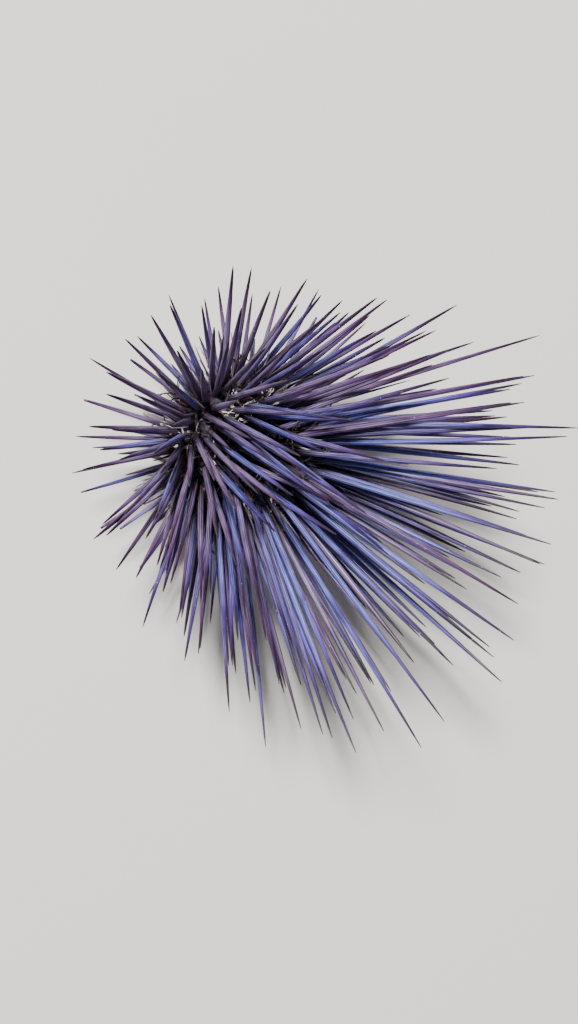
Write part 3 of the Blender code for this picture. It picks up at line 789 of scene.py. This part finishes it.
# Worn calcite: the same skinned shaft, fading to chalky cream at the rubbed end, and matt there.
worn_calcite, add, shader = new_material("worn_calcite")
turn_x, turn_y, along = rod_parts(add, "Run")
_, seed, share = rod_parts(add, "Lot")
far = add("Math", {"operation": "MULTIPLY", 0: seed, 1: FAR_APART})
slow = add("Math", {"operation": "MULTIPLY_ADD", 0: along, 1: MM / FOOT_STREAK_LENGTH, 2: far})
round_foot = add("CombineXYZ", {"X": turn_x, "Y": turn_y, "Z": slow})
streaks = add("TexNoise", {"Scale": FOOT_RADIUS / RIB_WIDTH, "Detail": 3.0, "Vector": round_foot})
wander = add("Math", {"operation": "MULTIPLY_ADD", 0: streaks, 1: WORN_WANDER, 2: -WORN_WANDER / 2})
worn_place = add("Math", {"operation": "ADD", 0: share, 1: wander})
worn = add("ValToRGB", {
    "stops": [(0.0, "#1A121C"), (0.15, "#4A3F58"), (0.55, "#6B5C78"), (0.8, "#A08E98"), (0.95, "#CFC1B2")],
    "Fac": worn_place,
})
relief = add("Bump", {"Strength": 0.4, "Distance": 0.05 * MM, "Height": streaks})
set_node(shader, {"Roughness": 0.55, "IOR": 1.49, "Base Color": worn, "Normal": relief})

feet = [spine for spine in primaries if spine["kind"] == "foot"]
foot_piece = add_rods("foot_spines", [foot_batch(feet, draw)], worn_calcite, sector_nodes)
for vert in foot_piece.data.vertices:
    vert.co.z = max(vert.co.z, 0.0)

# Secondary and miliary spines, the undergrowth, are slim smooth rods of calcite, dark among the bases of the
# long ones. About one in four is pale.
small_batches = []
# Name, spines, rings along the shaft, sides, share with lost points, and bow.
SMALL_PIECES = [
    ("secondary_spines", secondaries, 7, 8, 0.2, 0.03),
    ("miliary_spines", miliaries, 4, 6, 0.0, 0.04),
]
for name, laid, shaft_rings, sides, broken_share, bow_share in SMALL_PIECES:
    small_batches.append(spine_batch(laid, shaft_rings, sides, 0.0, draw, broken_share, bow_share))

# Small spines' calcite: slate to brown and darker than the long spines, partly from a deeper skin and partly
# painted shade, as small spines show in the shade of long ones. It is darkest at the root and the point.
skin_and_shade_calcite, add, shader = new_material("dark_skin_and_painted_shade_calcite")
hue, seed, share = rod_parts(add, "Lot")
blue = add("ValToRGB", {
    "stops": [(0.0, "#100B14"), (0.3, "#33304A"), (0.7, "#4B4A72"), (1.0, "#1C1226")], "Fac": share,
})
brown = add("ValToRGB", {
    "stops": [(0.0, "#120B10"), (0.3, "#3E2C34"), (0.7, "#5E4650"), (1.0, "#22121A")], "Fac": share,
})
pale = add("ValToRGB", {
    "stops": [(0.0, "#4E444C"), (0.35, "#A49CAC"), (0.8, "#948CA2"), (1.0, "#5A4E62")], "Fac": share,
})
few = add("ValToRGB", {"stops": [(0.7, 0.0), (0.78, 0.9)], "Fac": seed})
dark = add("Mix", {"data_type": "RGBA", 0: hue, 6: blue, 7: brown})
tone = add("Mix", {"data_type": "RGBA", 0: few, 6: dark, 7: pale})
set_node(shader, {"Roughness": 0.45, "IOR": 1.49, "Base Color": tone})
for (name, *_), batch in zip(SMALL_PIECES, small_batches):
    add_rods(name, [batch], skin_and_shade_calcite, sector_nodes)

# Tube feet reach out through pores along both edges of each ambulacrum: thin, soft, dark tubes that curl as
# they feel about, with a small sucker at the end. Those of the under side are short and hold to the floor.
TUBE_SEED = 12
TUBE_ROWS = 15
TUBE_SHARES = (0.05, 0.97)
TUBE_EDGES = (-0.34, 0.34)
TUBE_EDGE_SCATTER = 0.05
TUBE_AIM_SCATTER = 0.35
TUBE_LENGTH = (15 * MM, 3.4 * MM)
TUBE_LENGTH_SPREAD = (0.55, 1.1)
TUBE_RADIUS = 0.15 * MM
TUBE_RADIUS_SPREAD = (0.8, 1.15)
TUBE_WIDTHS = [(0, 1.5), (0.1, 1.1), (0.9, 0.85), (0.95, 0.9), (0.985, 1), (1, 0.75)]
TUBE_STATIONS = 20
TUBE_SIDES = 8
SUCKER_RADIUS = 0.27 * MM
TUBE_CURL = (0.4, 2.4)
CURL_POWER = 1.6


def curling_path(root, aim, length, curl, axis, stations):
    """A path that sets out along aim and turns about axis, by curl in all, ever more towards its end."""
    turned = curl * np.linspace(0, 1, stations) ** CURL_POWER
    ways = [aim * math.cos(t) + np.cross(axis, aim) * math.sin(t) for t in turned]
    moves = np.array(ways) * length / (stations - 1)
    path = root + np.concatenate([[np.zeros(3)], np.cumsum(moves[:-1], 0)])
    path[:, 2] = np.maximum(path[:, 2], FLOOR_ROOM)
    return path


def cross_axis(aim, draw):
    return unit(np.cross(aim, draw.normal(size=3)))


def soft_batch(paths, lots, radii, widths, sides):
    """A batch of smooth rods. Their widths at each station are shares of their radii."""
    shares, lots = np.linspace(0, 1, len(paths[0])), np.array(lots)
    return np.array(paths), np.outer(radii, widths), sides, None, lots[:, 2:] * shares, lots


def tube_batch():
    draw = np.random.RandomState(TUBE_SEED)
    widths = np.interp(np.linspace(0, 1, TUBE_STATIONS), *zip(*TUBE_WIDTHS))
    widths[-2:] *= SUCKER_RADIUS / TUBE_RADIUS
    rows = [(middle, width, edge) for _, middle, width in sectors()[1::2] for edge in TUBE_EDGES]
    paths, radii, lots = [], [], []
    for middle, width, edge in rows:
        for share in np.linspace(*TUBE_SHARES, TUBE_ROWS):
            share = share + SHARE_SCATTER * draw.uniform(-1, 1)
            bearing = middle + width * (edge + TUBE_EDGE_SCATTER * draw.uniform(-1, 1))
            facing = outward_at(bearing, share)
            root = on_test(bearing, share) - facing * SKIN_DEPTH
            aim = unit(facing + TUBE_AIM_SCATTER * draw.normal(size=3))
            length = mix(TUBE_LENGTH, share) * draw.uniform(*TUBE_LENGTH_SPREAD)
            curl = mix(TUBE_CURL, draw.uniform())
            paths.append(curling_path(root, aim, length, curl, cross_axis(aim, draw), TUBE_STATIONS))
            radii.append(TUBE_RADIUS * draw.uniform(*TUBE_RADIUS_SPREAD))
            lots.append([draw.uniform(), draw.uniform(), length])
    return soft_batch(paths, lots, radii, widths, TUBE_SIDES)


# Soft wet tissue: maroon black and shiny, with a brown, slightly lighter sucker.
tube_tissue, add, shader = new_material("tube_foot_tissue")
_, _, share = rod_parts(add, "Lot")
tone = add("ValToRGB", {
    "stops": [(0.0, "#120A12"), (0.6, "#1E1018"), (0.93, "#2E1A1E"), (0.97, "#4E3A3A")], "Fac": share,
})
set_node(shader, {"Roughness": 0.32, "IOR": 1.36, "Base Color": tone})
add_rods("tube_feet", [tube_batch()], tube_tissue, sector_nodes)

# Pedicellariae are tiny tongs on stalks that clean the skin. They stand in tufts, thickest round the top of
# the test: pale, each with three jaws that curl together, some open and some shut.
TONG_SEED = 31
TONG_TUFTS = 64
TONG_TUFT_SIZE = 4
TONG_TUFT_RADIUS = 0.75 * MM
TONG_ROOM = 0.6 * MM
TONG_TOP, TONG_SIDE = (0.005, 0.3), (0.3, 0.95)
TONG_TOP_SHARE = 0.75
TONG_AIM_SCATTER = 0.45
TONG_STALK = (1.8 * MM, 6.0 * MM)
TONG_STALK_POWER = 1.5
TONG_UNDER_LENGTH = 0.5
TONG_STALK_RADIUS = 0.06 * MM
TONG_STALK_WIDTHS = [(0, 1.4), (0.15, 0.9), (0.85, 1.0), (1, 1.7)]
TONG_STALK_CURL = (0.4, 2.6)
TONG_JAWS = 3
TONG_JAW = 1.25 * MM
TONG_JAW_RADIUS = 0.085 * MM
TONG_JAW_WIDTHS = [(0, 0.9), (0.3, 1.0), (0.75, 0.75), (1, 0.35)]
TONG_JAW_CURL = 1.1
TONG_JAW_SET = 0.05 * MM
TONG_OPENING = (0.15, 0.8)
TONG_STATIONS = 9
TONG_SIDES = 6


def tong_batches():
    draw = np.random.RandomState(TONG_SEED)
    stalks, stalk_lots, jaws, jaw_lots = [], [], [], []
    for i in range(TONG_TUFTS * TONG_TUFT_SIZE):
        if i % TONG_TUFT_SIZE == 0:
            shares = TONG_TOP if draw.uniform() < TONG_TOP_SHARE else TONG_SIDE
            tuft_bearing, tuft_share = free_place(taken, TONG_ROOM, draw, shares)
        aside, down = TONG_TUFT_RADIUS * draw.uniform(-1, 1, 2)
        bearing = tuft_bearing + aside / surface_at(tuft_share)[0]
        share = np.clip(tuft_share + down / OUTLINE_RUN[-1], 0, 1)
        facing = outward_at(bearing, share)
        root = on_test(bearing, share) - facing * SKIN_DEPTH
        aim = unit(facing + TONG_AIM_SCATTER * draw.normal(size=3))
        length = mix(TONG_STALK, draw.uniform() ** TONG_STALK_POWER)
        length *= TONG_UNDER_LENGTH if share > UNDER_SHARE else 1
        curl = mix(TONG_STALK_CURL, draw.uniform())
        stalk = curling_path(root, aim, length, curl, cross_axis(aim, draw), TONG_STATIONS)
        stalks.append(stalk)
        stalk_lots.append([draw.uniform(), draw.uniform(), length])
        head = unit(stalk[-1] - stalk[-2])
        first, opening = cross_axis(head, draw), draw.uniform(*TONG_OPENING)
        for angle in np.arange(TONG_JAWS) * math.tau / TONG_JAWS:
            out = first * math.cos(angle) + np.cross(head, first) * math.sin(angle)
            base, way = stalk[-1] + out * TONG_JAW_SET, unit(head + out * opening)
            axis, curl = unit(np.cross(way, head)), opening + TONG_JAW_CURL
            jaws.append(curling_path(base, way, TONG_JAW, curl, axis, TONG_STATIONS))
            jaw_lots.append([*stalk_lots[-1][:2], TONG_JAW])
    stations, made = np.linspace(0, 1, TONG_STATIONS), []
    for paths, lots, radius, widths in [
        (stalks, stalk_lots, TONG_STALK_RADIUS, TONG_STALK_WIDTHS),
        (jaws, jaw_lots, TONG_JAW_RADIUS, TONG_JAW_WIDTHS),
    ]:
        radii, along = np.full(len(paths), radius), np.interp(stations, *zip(*widths))
        made.append(soft_batch(paths, lots, radii, along, TONG_SIDES))
    return made


# Thin pale tissue over tiny calcite jaws: cream to tan, satin, varied from one to the next.
tong_tissue, add, shader = new_material("pedicellaria_tissue")
hue, _, _ = rod_parts(add, "Lot")
tone = add("ValToRGB", {"stops": [(0.0, "#AE9C8C"), (0.45, "#D8CEC2"), (1.0, "#F6F2EC")], "Fac": hue})
set_node(shader, {"Roughness": 0.45, "IOR": 1.4, "Base Color": tone})
add_rods("pedicellariae", tong_batches(), tong_tissue, sector_nodes)

# The apical plates close the top of the test: five genital plates round the anus, each with the pore of its
# gonad, one of them the porous madreporite, and five small ocular plates between their outer corners.
PERIPROCT_RADIUS = 1.4 * MM
PLATE_RISE = 0.33 * MM
PLATE_SINK = 0.7 * MM
PLATE_JOINT = 0.09 * MM
PLATE_CORNER = 0.16
PLATE_SWELL = 0.1
PLATE_ROLL = 0.1 * MM
PLATE_GRID = 26
PLATE_SQUARENESS, PLATE_DOME_POWER, PLATE_ROLL_POWER = 4, 0.6, 8
SPOT_POWER = 1.5
PORE_PLACE = 0.78
PORE_RADIUS, PORE_DEPTH = 0.2 * MM, 0.3 * MM
SIEVE_PORES = 34
SIEVE_RADIUS, SIEVE_DEPTH = 0.09 * MM, 0.12 * MM
GRANULES = 9
GRANULE_SEED = 17
GRANULE_RADIUS, GRANULE_RISE = 0.2 * MM, 0.12 * MM
GRANULE_ASIDE, GRANULE_PLACES, GRANULE_SIZES = (-0.8, 0.8), (0.1, 0.95), (0.6, 1.0)
GENITAL_MARGINS, OCULAR_MARGINS = (0.12 * MM, 0.42 * MM), (0.5 * MM, 0.45 * MM)
OCULAR_RADIUS = 0.62 * MM
OCULAR_RISE = 0.22 * MM
OCULAR_PORE_PLACE = 0.7
OCULAR_PORE_RADIUS, OCULAR_PORE_DEPTH = 0.12 * MM, 0.14 * MM
PLATE_PATCH = 1.2 * MM
PLATE_GRAIN = 0.16 * MM


def plate(middle, half_width, reach, rise, spots):
    """A closed plate, across its bearing and out from the axis between the radii of its reach. It is domed,
    with rounded corners, and sunk or raised at spots with a bearing, radius, size and height."""
    across, out = np.meshgrid(np.linspace(-1, 1, PLATE_GRID), np.linspace(-1, 1, PLATE_GRID))
    pull = 1 - PLATE_CORNER * (across**2 * out**2)
    radius = mix(reach, (out * pull + 1) / 2) + PLATE_SWELL * reach[1] * (1 - across**2) * np.maximum(out, 0)
    joint = np.arcsin(np.clip(PLATE_JOINT / radius, 0, 1))
    bearing = middle + half_width * across * pull - joint * across
    points = np.stack([np.cos(bearing) * radius, np.sin(bearing) * radius, np.zeros_like(radius)], -1)
    edge = np.maximum(np.abs(across), np.abs(out))
    lift = rise * (1 - edge**PLATE_SQUARENESS) ** PLATE_DOME_POWER
    lift -= PLATE_ROLL * edge**PLATE_ROLL_POWER
    for spot_bearing, spot_radius, size, height in spots:
        away = np.linalg.norm(points - direction(spot_bearing) * spot_radius, axis=2) / size
        lift += height * np.clip(1 - away**2, 0, 1) ** SPOT_POWER
    points[..., 2] = TEST_TOP + np.minimum(lift, rise + PLATE_ROLL)
    top = points.reshape(-1, 3)
    index = np.arange(PLATE_GRID**2).reshape(PLATE_GRID, PLATE_GRID)
    quads = corners(index[None]).reshape(-1, 4)
    rim = np.concatenate([index[0, :-1], index[:-1, -1], index[-1, :0:-1], index[:0:-1, 0]])
    base = PLATE_GRID**2 + np.arange(len(rim))
    walls = np.stack([rim, base, np.roll(base, -1), np.roll(rim, -1)], 1)
    lower = top[rim] * [1, 1, 0] + UP * (TEST_TOP - PLATE_SINK)
    return np.concatenate([top, lower]), [*quads.tolist(), *walls.tolist(), base[::-1].tolist()]


# Thin skin over plates of calcite: black purple, mottled brown and a little lighter, satin, finely grained.
plate_skin = mottled_skin(
    "skinned_plate", {"Scale": 1 / PLATE_PATCH, "Detail": 5.0},
    [(0.3, "#100A14"), (0.5, "#231626"), (0.65, "#3A2630"), (0.8, "#1B1222")],
    "TexVoronoi", {"Scale": 1 / PLATE_GRAIN}, {"Strength": 0.35, "Distance": 0.05 * MM},
    {"Roughness": 0.55, "IOR": 1.38, "Specular IOR Level": 0.25},
)

draw = np.random.RandomState(GRANULE_SEED)
genital_reach = (PERIPROCT_RADIUS + GENITAL_MARGINS[0], APICAL_RADIUS - GENITAL_MARGINS[1])
for i in range(SECTOR_PAIRS):
    middle, half_width = pair_bearing(i), math.pi / SECTOR_PAIRS
    spots = [(middle, mix(genital_reach, PORE_PLACE), PORE_RADIUS, -PORE_DEPTH)]
    for _ in range(SIEVE_PORES if i == 0 else GRANULES):
        bearing = middle + half_width * draw.uniform(*GRANULE_ASIDE)
        radius, size = mix(genital_reach, draw.uniform(*GRANULE_PLACES)), draw.uniform(*GRANULE_SIZES)
        granule = (bearing, radius, GRANULE_RADIUS * size, GRANULE_RISE * size)
        spots.append((bearing, radius, SIEVE_RADIUS, -SIEVE_DEPTH) if i == 0 else granule)
    verts, faces = plate(middle, half_width, genital_reach, PLATE_RISE, spots)
    name = f"genital_plate_{i + 1}"
    add_piece(f"{name}_skinned", verts, faces, plate_skin, [name])

ocular_reach = (APICAL_RADIUS - OCULAR_MARGINS[0], APICAL_RADIUS + OCULAR_MARGINS[1])
ocular_verts, ocular_faces = [], []
for i in range(SECTOR_PAIRS):
    middle, half_width = pair_bearing(i + 0.5), OCULAR_RADIUS / APICAL_RADIUS
    pore = (middle, mix(ocular_reach, OCULAR_PORE_PLACE), OCULAR_PORE_RADIUS, -OCULAR_PORE_DEPTH)
    verts, faces = plate(middle, half_width, ocular_reach, OCULAR_RISE, [pore])
    ocular_faces += [tuple(i * len(verts) + k for k in face) for face in faces]
    ocular_verts.append(verts)
add_piece("ocular_plates", np.concatenate(ocular_verts), ocular_faces, plate_skin)

# The periproct is the disc of skin round the anus, paved with small loose scales that grow smaller towards
# the opening, which stands on a low cone.
CONE_TURNS = 48
# Radius and height over the test's top, and of each ring of scales its radius, count and size, all lengths in
# millimetres.
CONE_PROFILE = [
    (0.05, 0.25), (0.14, 0.5), (0.2, 0.68), (0.28, 0.7), (0.42, 0.58), (0.8, 0.28), (1.2, 0.06), (1.45, -0.1),
    (1.5, -0.65),
]
CONE_CREST = 3
SCALE_RINGS = [(1.12, 15, 0.27), (0.76, 11, 0.23), (0.44, 7, 0.18)]
SCALE_ASIDE = 0.5
SCALE_SPREAD = (0.85, 1.15)
SCALE_WIDTH = 0.85
SCALE_THICKNESS = 0.09 * MM
SCALE_LIP = 0.25
SCALE_TILT = math.atan(0.35)

cone = [(radius * MM, TEST_TOP + height * MM) for radius, height in CONE_PROFILE]
verts = level_rings(cone, CONE_TURNS)
faces = ring_faces(len(cone), CONE_TURNS)
ball = bmesh.new()
bmesh.ops.create_uvsphere(ball, u_segments=10, v_segments=6, radius=1)
ball.verts.index_update()
ball_points = np.array([vert.co[:] for vert in ball.verts])
ball_faces = [[vert.index for vert in face.verts] for face in ball.faces]
ball.free()
for ring_radius, count, size in SCALE_RINGS:
    for k in range(count):
        bearing = (k + SCALE_ASIDE * draw.uniform()) * math.tau / count
        height = np.interp(ring_radius * MM, *zip(*cone[CONE_CREST:]))
        breadth = size * MM * draw.uniform(*SCALE_SPREAD)
        scale = ball_points * [breadth, breadth * SCALE_WIDTH, SCALE_THICKNESS]
        scale[:, 2] -= SCALE_LIP * np.minimum(scale[:, 0], 0)
        out, aside = direction(bearing, SCALE_TILT + math.pi / 2), direction(bearing + math.pi / 2)
        scale = scale @ np.array([out, aside, direction(bearing, SCALE_TILT)])
        first = sum(len(points) for points in verts)
        faces += [[first + i for i in face] for face in ball_faces]
        verts.append(scale + direction(bearing) * ring_radius * MM + UP * height)
add_piece("periproct_scales", np.concatenate(verts), faces, plate_skin, ["periproct"])

# The peristome is the soft skin round the mouth, which lets the jaws move. It is folded in rings and pleats,
# swells to thick lips round the teeth, and carries ten small buccal plates.
MOUTH_TURNS = 180
MOUTH_RINGS = 46
LIP_RADIUS = 2.6 * MM
# Radius, and height over the rim in millimetres, from the hidden edge to the throat.
MOUTH_PROFILE = [
    (PERISTOME_RADIUS, 0.5), (0.96 * PERISTOME_RADIUS, 0.3), (4.6 * MM, -0.3), (LIP_RADIUS, -0.62),
    (0.8 * LIP_RADIUS, -0.5), (0.62 * LIP_RADIUS, 0.25),
]
MOUTH_DOME = 0.7 * MM
PLEATS = 45
FOLD_BEND, FOLD_BENDS = 0.8, 3
FOLD_SWELL, FOLD_SWELLS = 0.4, 7
PLEAT_BEND, PLEAT_BENDS = 2.5, 5
FOLD_SPACING = 0.55 * MM
FOLD_DEPTH = 0.11 * MM
FOLD_SHARE = 0.72
CALM_WIDTH = 0.8 * MM
LIP_PLACE, LIP_WIDTH = 0.85, 0.5 * MM
LIP_NODULES = 20
NODULE_RISE = 0.08 * MM
BUCCAL_RADIUS = 4.1 * MM
BUCCAL_SIZE = 0.55 * MM
BUCCAL_RISE = 0.16 * MM
BUCCAL_ASIDE = 0.17
BUCCAL_POWER = 0.7
LID_SHARE, LID_HEIGHT = 0.97, 1.2 * MM
GULLET_SHARE, GULLET_HEIGHT = 0.9, 0.6 * MM
MEMBRANE_PATCH = 0.9 * MM
MEMBRANE_GRAIN = 0.15 * MM


def mouth_rings():
    """Rings of points from the hidden rim to the throat, with folds, buccal plates and notched lips."""
    bearings = np.arange(MOUTH_TURNS) * math.tau / MOUTH_TURNS
    edge, throat = MOUTH_PROFILE[0][0], MOUTH_PROFILE[-1][0]
    buccal = [pair_bearing(i + 0.5) + side * BUCCAL_ASIDE for i in range(SECTOR_PAIRS) for side in (-1, 1)]
    made = []
    for radius in mix((edge, throat), np.linspace(0, 1, MOUTH_RINGS)):
        height = RIM_CLEARANCE + MM * np.interp(radius, *zip(*reversed(MOUTH_PROFILE)))
        fold = np.sin(math.tau * radius / FOLD_SPACING + FOLD_BEND * np.sin(FOLD_BENDS * bearings))
        fold *= 1 + FOLD_SWELL * np.sin(FOLD_SWELLS * bearings + radius / FOLD_SPACING)
        pleat = np.sin(PLEATS * bearings + PLEAT_BEND * np.sin(PLEAT_BENDS * bearings))
        calm = np.clip((PERISTOME_RADIUS - radius) / CALM_WIDTH, 0, 1)
        drop = FOLD_DEPTH * calm * mix((pleat, fold), FOLD_SHARE)
        lips = math.exp(-(((radius - LIP_PLACE * LIP_RADIUS) / LIP_WIDTH) ** 2))
        drop += NODULE_RISE * lips * np.cos(LIP_NODULES * bearings)
        ring = circle(MOUTH_TURNS) * radius + UP * height
        for bearing in buccal:
            spot = direction(bearing) * BUCCAL_RADIUS + UP * height
            away = np.linalg.norm(ring - spot, axis=1) / BUCCAL_SIZE
            drop += BUCCAL_RISE * np.clip(1 - away**2, 0, 1) ** BUCCAL_POWER
        ring[:, 2] = np.maximum(ring[:, 2] - drop, RIM_CLEARANCE - MOUTH_DOME)
        made.append(ring)
    return made


lid = [(LID_SHARE * MOUTH_PROFILE[0][0], RIM_CLEARANCE + LID_HEIGHT)]
gullet = [(GULLET_SHARE * MOUTH_PROFILE[-1][0], RIM_CLEARANCE + GULLET_HEIGHT)]
rings = level_rings(lid, MOUTH_TURNS) + mouth_rings() + level_rings(gullet, MOUTH_TURNS)

# Peristomial membrane: soft maroon skin, browner in patches, satin and moist, with fine wrinkles.
membrane = mottled_skin(
    "peristomial_membrane", {"Scale": 1 / MEMBRANE_PATCH, "Detail": 5.0},
    [(0.3, "#2A1218"), (0.52, "#4C242A"), (0.7, "#6B3C3A")],
    "TexNoise", {"Scale": 1 / MEMBRANE_GRAIN, "Detail": 3.0}, {"Strength": 0.4, "Distance": 0.05 * MM},
    {"Roughness": 0.48, "IOR": 1.38},
)
mouth_faces = ring_faces(len(rings), MOUTH_TURNS)
add_piece("mouth_membrane", np.concatenate(rings), mouth_faces, membrane, ["peristome"])

# The five teeth are slim curved chisels of hard calcite that meet at their tips below the lips. Each grows
# down from its jaw, keeled inside, and wears to a sharp edge.
TOOTH_WIDTH, TOOTH_THICKNESS, TOOTH_LENGTH = 0.8 * MM, 0.3024 * MM, 1.9 * MM
TOOTH_RING_RADIUS = 0.72 * MM
TOOTH_LEAN = 0.38 * MM
TOOTH_NARROWING, NARROWING_POWER = 0.5, 1.5
TOOTH_THINNING, THINNING_POWER = 0.78, 2
TOOTH_SECTION = [
    (0.0, -0.5), (0.35, -0.42), (1.0, -0.2), (1.0, 0.2), (0.35, 0.42), (0.0, 0.5), (-0.35, 0.3),
    (-0.35, -0.3),
]
TOOTH_STATIONS = 12
TOOTH_SHARP_ANGLE = math.radians(40)
GROWTH_SPACING = 0.3 * MM


def tooth_mesh(bearing):
    """A chisel swept down a gentle curve, narrower and thinner towards its edge."""
    verts = []
    out, side = direction(bearing), direction(bearing + math.pi / 2)
    for step in np.linspace(0, 1, TOOTH_STATIONS):
        width = TOOTH_WIDTH * (1 - TOOTH_NARROWING * step**NARROWING_POWER)
        thick = TOOTH_THICKNESS * (1 - TOOTH_THINNING * step**THINNING_POWER)
        centre = out * (TOOTH_RING_RADIUS - TOOTH_LEAN * step**2)
        centre = centre + UP * (RIM_CLEARANCE - SUTURE_ROOM - TOOTH_LENGTH * step)
        verts += [centre + out * depth * thick + side * across * width for depth, across in TOOTH_SECTION]
    return np.array(verts), ring_faces(TOOTH_STATIONS, len(TOOTH_SECTION))


# Tooth calcite: hard, ivory and glossy, with faint growth lines across it.
ivory, add, shader = new_material("tooth_calcite")
place = add("NewGeometry")
growth = add("TexWave", {
    "bands_direction": "Z", "Scale": 1 / GROWTH_SPACING / math.tau, "Distortion": 1.5, "Detail": 2.0,
    "Vector": place,
}, "Fac")
tone = add("ValToRGB", {"stops": [(0.0, "#D8CDB8"), (1.0, "#F0EADC")], "Fac": growth})
set_node(shader, {"Roughness": 0.28, "IOR": 1.6, "Base Color": tone})
for i in range(SECTOR_PAIRS):
    verts, faces = tooth_mesh(pair_bearing(i))
    piece = add_piece(f"tooth_{i + 1}_chisel", verts, faces, ivory, [f"tooth_{i + 1}"])
    piece.data.set_sharp_from_angle(angle=TOOTH_SHARP_ANGLE)

# The floor is a plain pale board, wide enough to fill every view.
FLOOR_RADIUS = 2.5
bm = bmesh.new()
bmesh.ops.create_circle(bm, cap_ends=True, segments=96, radius=FLOOR_RADIUS)
floor_mesh = bpy.data.meshes.new("floor")
bm.to_mesh(floor_mesh)
bm.free()
# Matt painted board: warm off-white with no gloss to speak of.
board, _, shader = new_material("matt_painted_board")
set_node(shader, {"Roughness": 0.85, "Base Color": linear("#D9D4CC")})
floor_mesh.materials.append(board)
floor = bpy.data.objects.new("floor", floor_mesh)
bpy.context.scene.collection.objects.link(floor)

# The camera looks down on the crown from the closed side, rolled so that the fan opens to the lower right.
# The crown pixel is where the top of the test comes in the frame.
FRAME_WIDTH, FRAME_HEIGHT = 578, 1024
LENS_MM, SENSOR_MM = 60, 36
CAMERA_DISTANCE = 0.345
CAMERA_ELEVATION = math.radians(70)
CAMERA_ROLL = math.radians(-35)
CROWN_PIXEL = (254, 455)
focal = LENS_MM / SENSOR_MM * FRAME_HEIGHT
right = np.array([1.0, 0.0, 0.0])
upright = np.array([0.0, math.sin(CAMERA_ELEVATION), math.cos(CAMERA_ELEVATION)])
camera_x = math.cos(CAMERA_ROLL - math.pi / 2) * right + math.cos(CAMERA_ROLL) * upright
camera_y = math.sin(CAMERA_ROLL - math.pi / 2) * right + math.sin(CAMERA_ROLL) * upright
camera_z = np.cross(camera_x, camera_y)
off_x = (CROWN_PIXEL[0] - FRAME_WIDTH / 2) / focal
off_y = (FRAME_HEIGHT / 2 - CROWN_PIXEL[1]) / focal
crown = TEST_AXIS + UP * TEST_TOP
eye = crown - CAMERA_DISTANCE * (camera_x * off_x + camera_y * off_y - camera_z)
lens = bpy.data.cameras.new("camera")
lens.lens, lens.sensor_width = LENS_MM, SENSOR_MM
lens.clip_start, lens.clip_end = 0.01, 20
camera = bpy.data.objects.new("camera", lens)
camera.matrix_world = Matrix([[*camera_x, 0], [*camera_y, 0], [*camera_z, 0], [*eye, 1]]).transposed()
bpy.context.scene.collection.objects.link(camera)
bpy.context.scene.camera = camera

# Soft studio light: a softbox on the camera's side of the animal, a broad weak one across from it, and a dim
# room with pale walls that fade into a darker ceiling. Each softbox has its place, size, watts and tint.
LIGHTS = [
    ("key_softbox", (-0.64, -1.69, 2.35), 0.42, 246.0, "#FFFFFF"),
    ("fill_softbox", (2.1, 1.2, 1.35), 1.8, 8.0, "#F2ECFF"),
]
for name, spot, size, watts, tint in LIGHTS:
    lamp = bpy.data.lights.new(name, "AREA")
    lamp.shape, lamp.size = "DISK", size
    lamp.energy, lamp.color = watts, linear(tint)[:3]
    holder = bpy.data.objects.new(name, lamp)
    holder.location = spot
    holder.rotation_euler = (Vector(crown) - Vector(spot)).to_track_quat("-Z", "Y").to_euler()
    bpy.context.scene.collection.objects.link(holder)
room = bpy.data.worlds.new("pale_room")
room.use_nodes = True
add = functools.partial(add_node, room.node_tree)
place = add("TexCoord")
rise = add("SeparateXYZ", {"Vector": place}, "Z")
walls = add("ValToRGB", {"stops": [(0.0, "#B9BCC0"), (0.2, "#B4B7BB"), (0.45, "#484A4E")], "Fac": rise})
set_node(room.node_tree.nodes["Background"], {"Color": walls})
bpy.context.scene.world = room
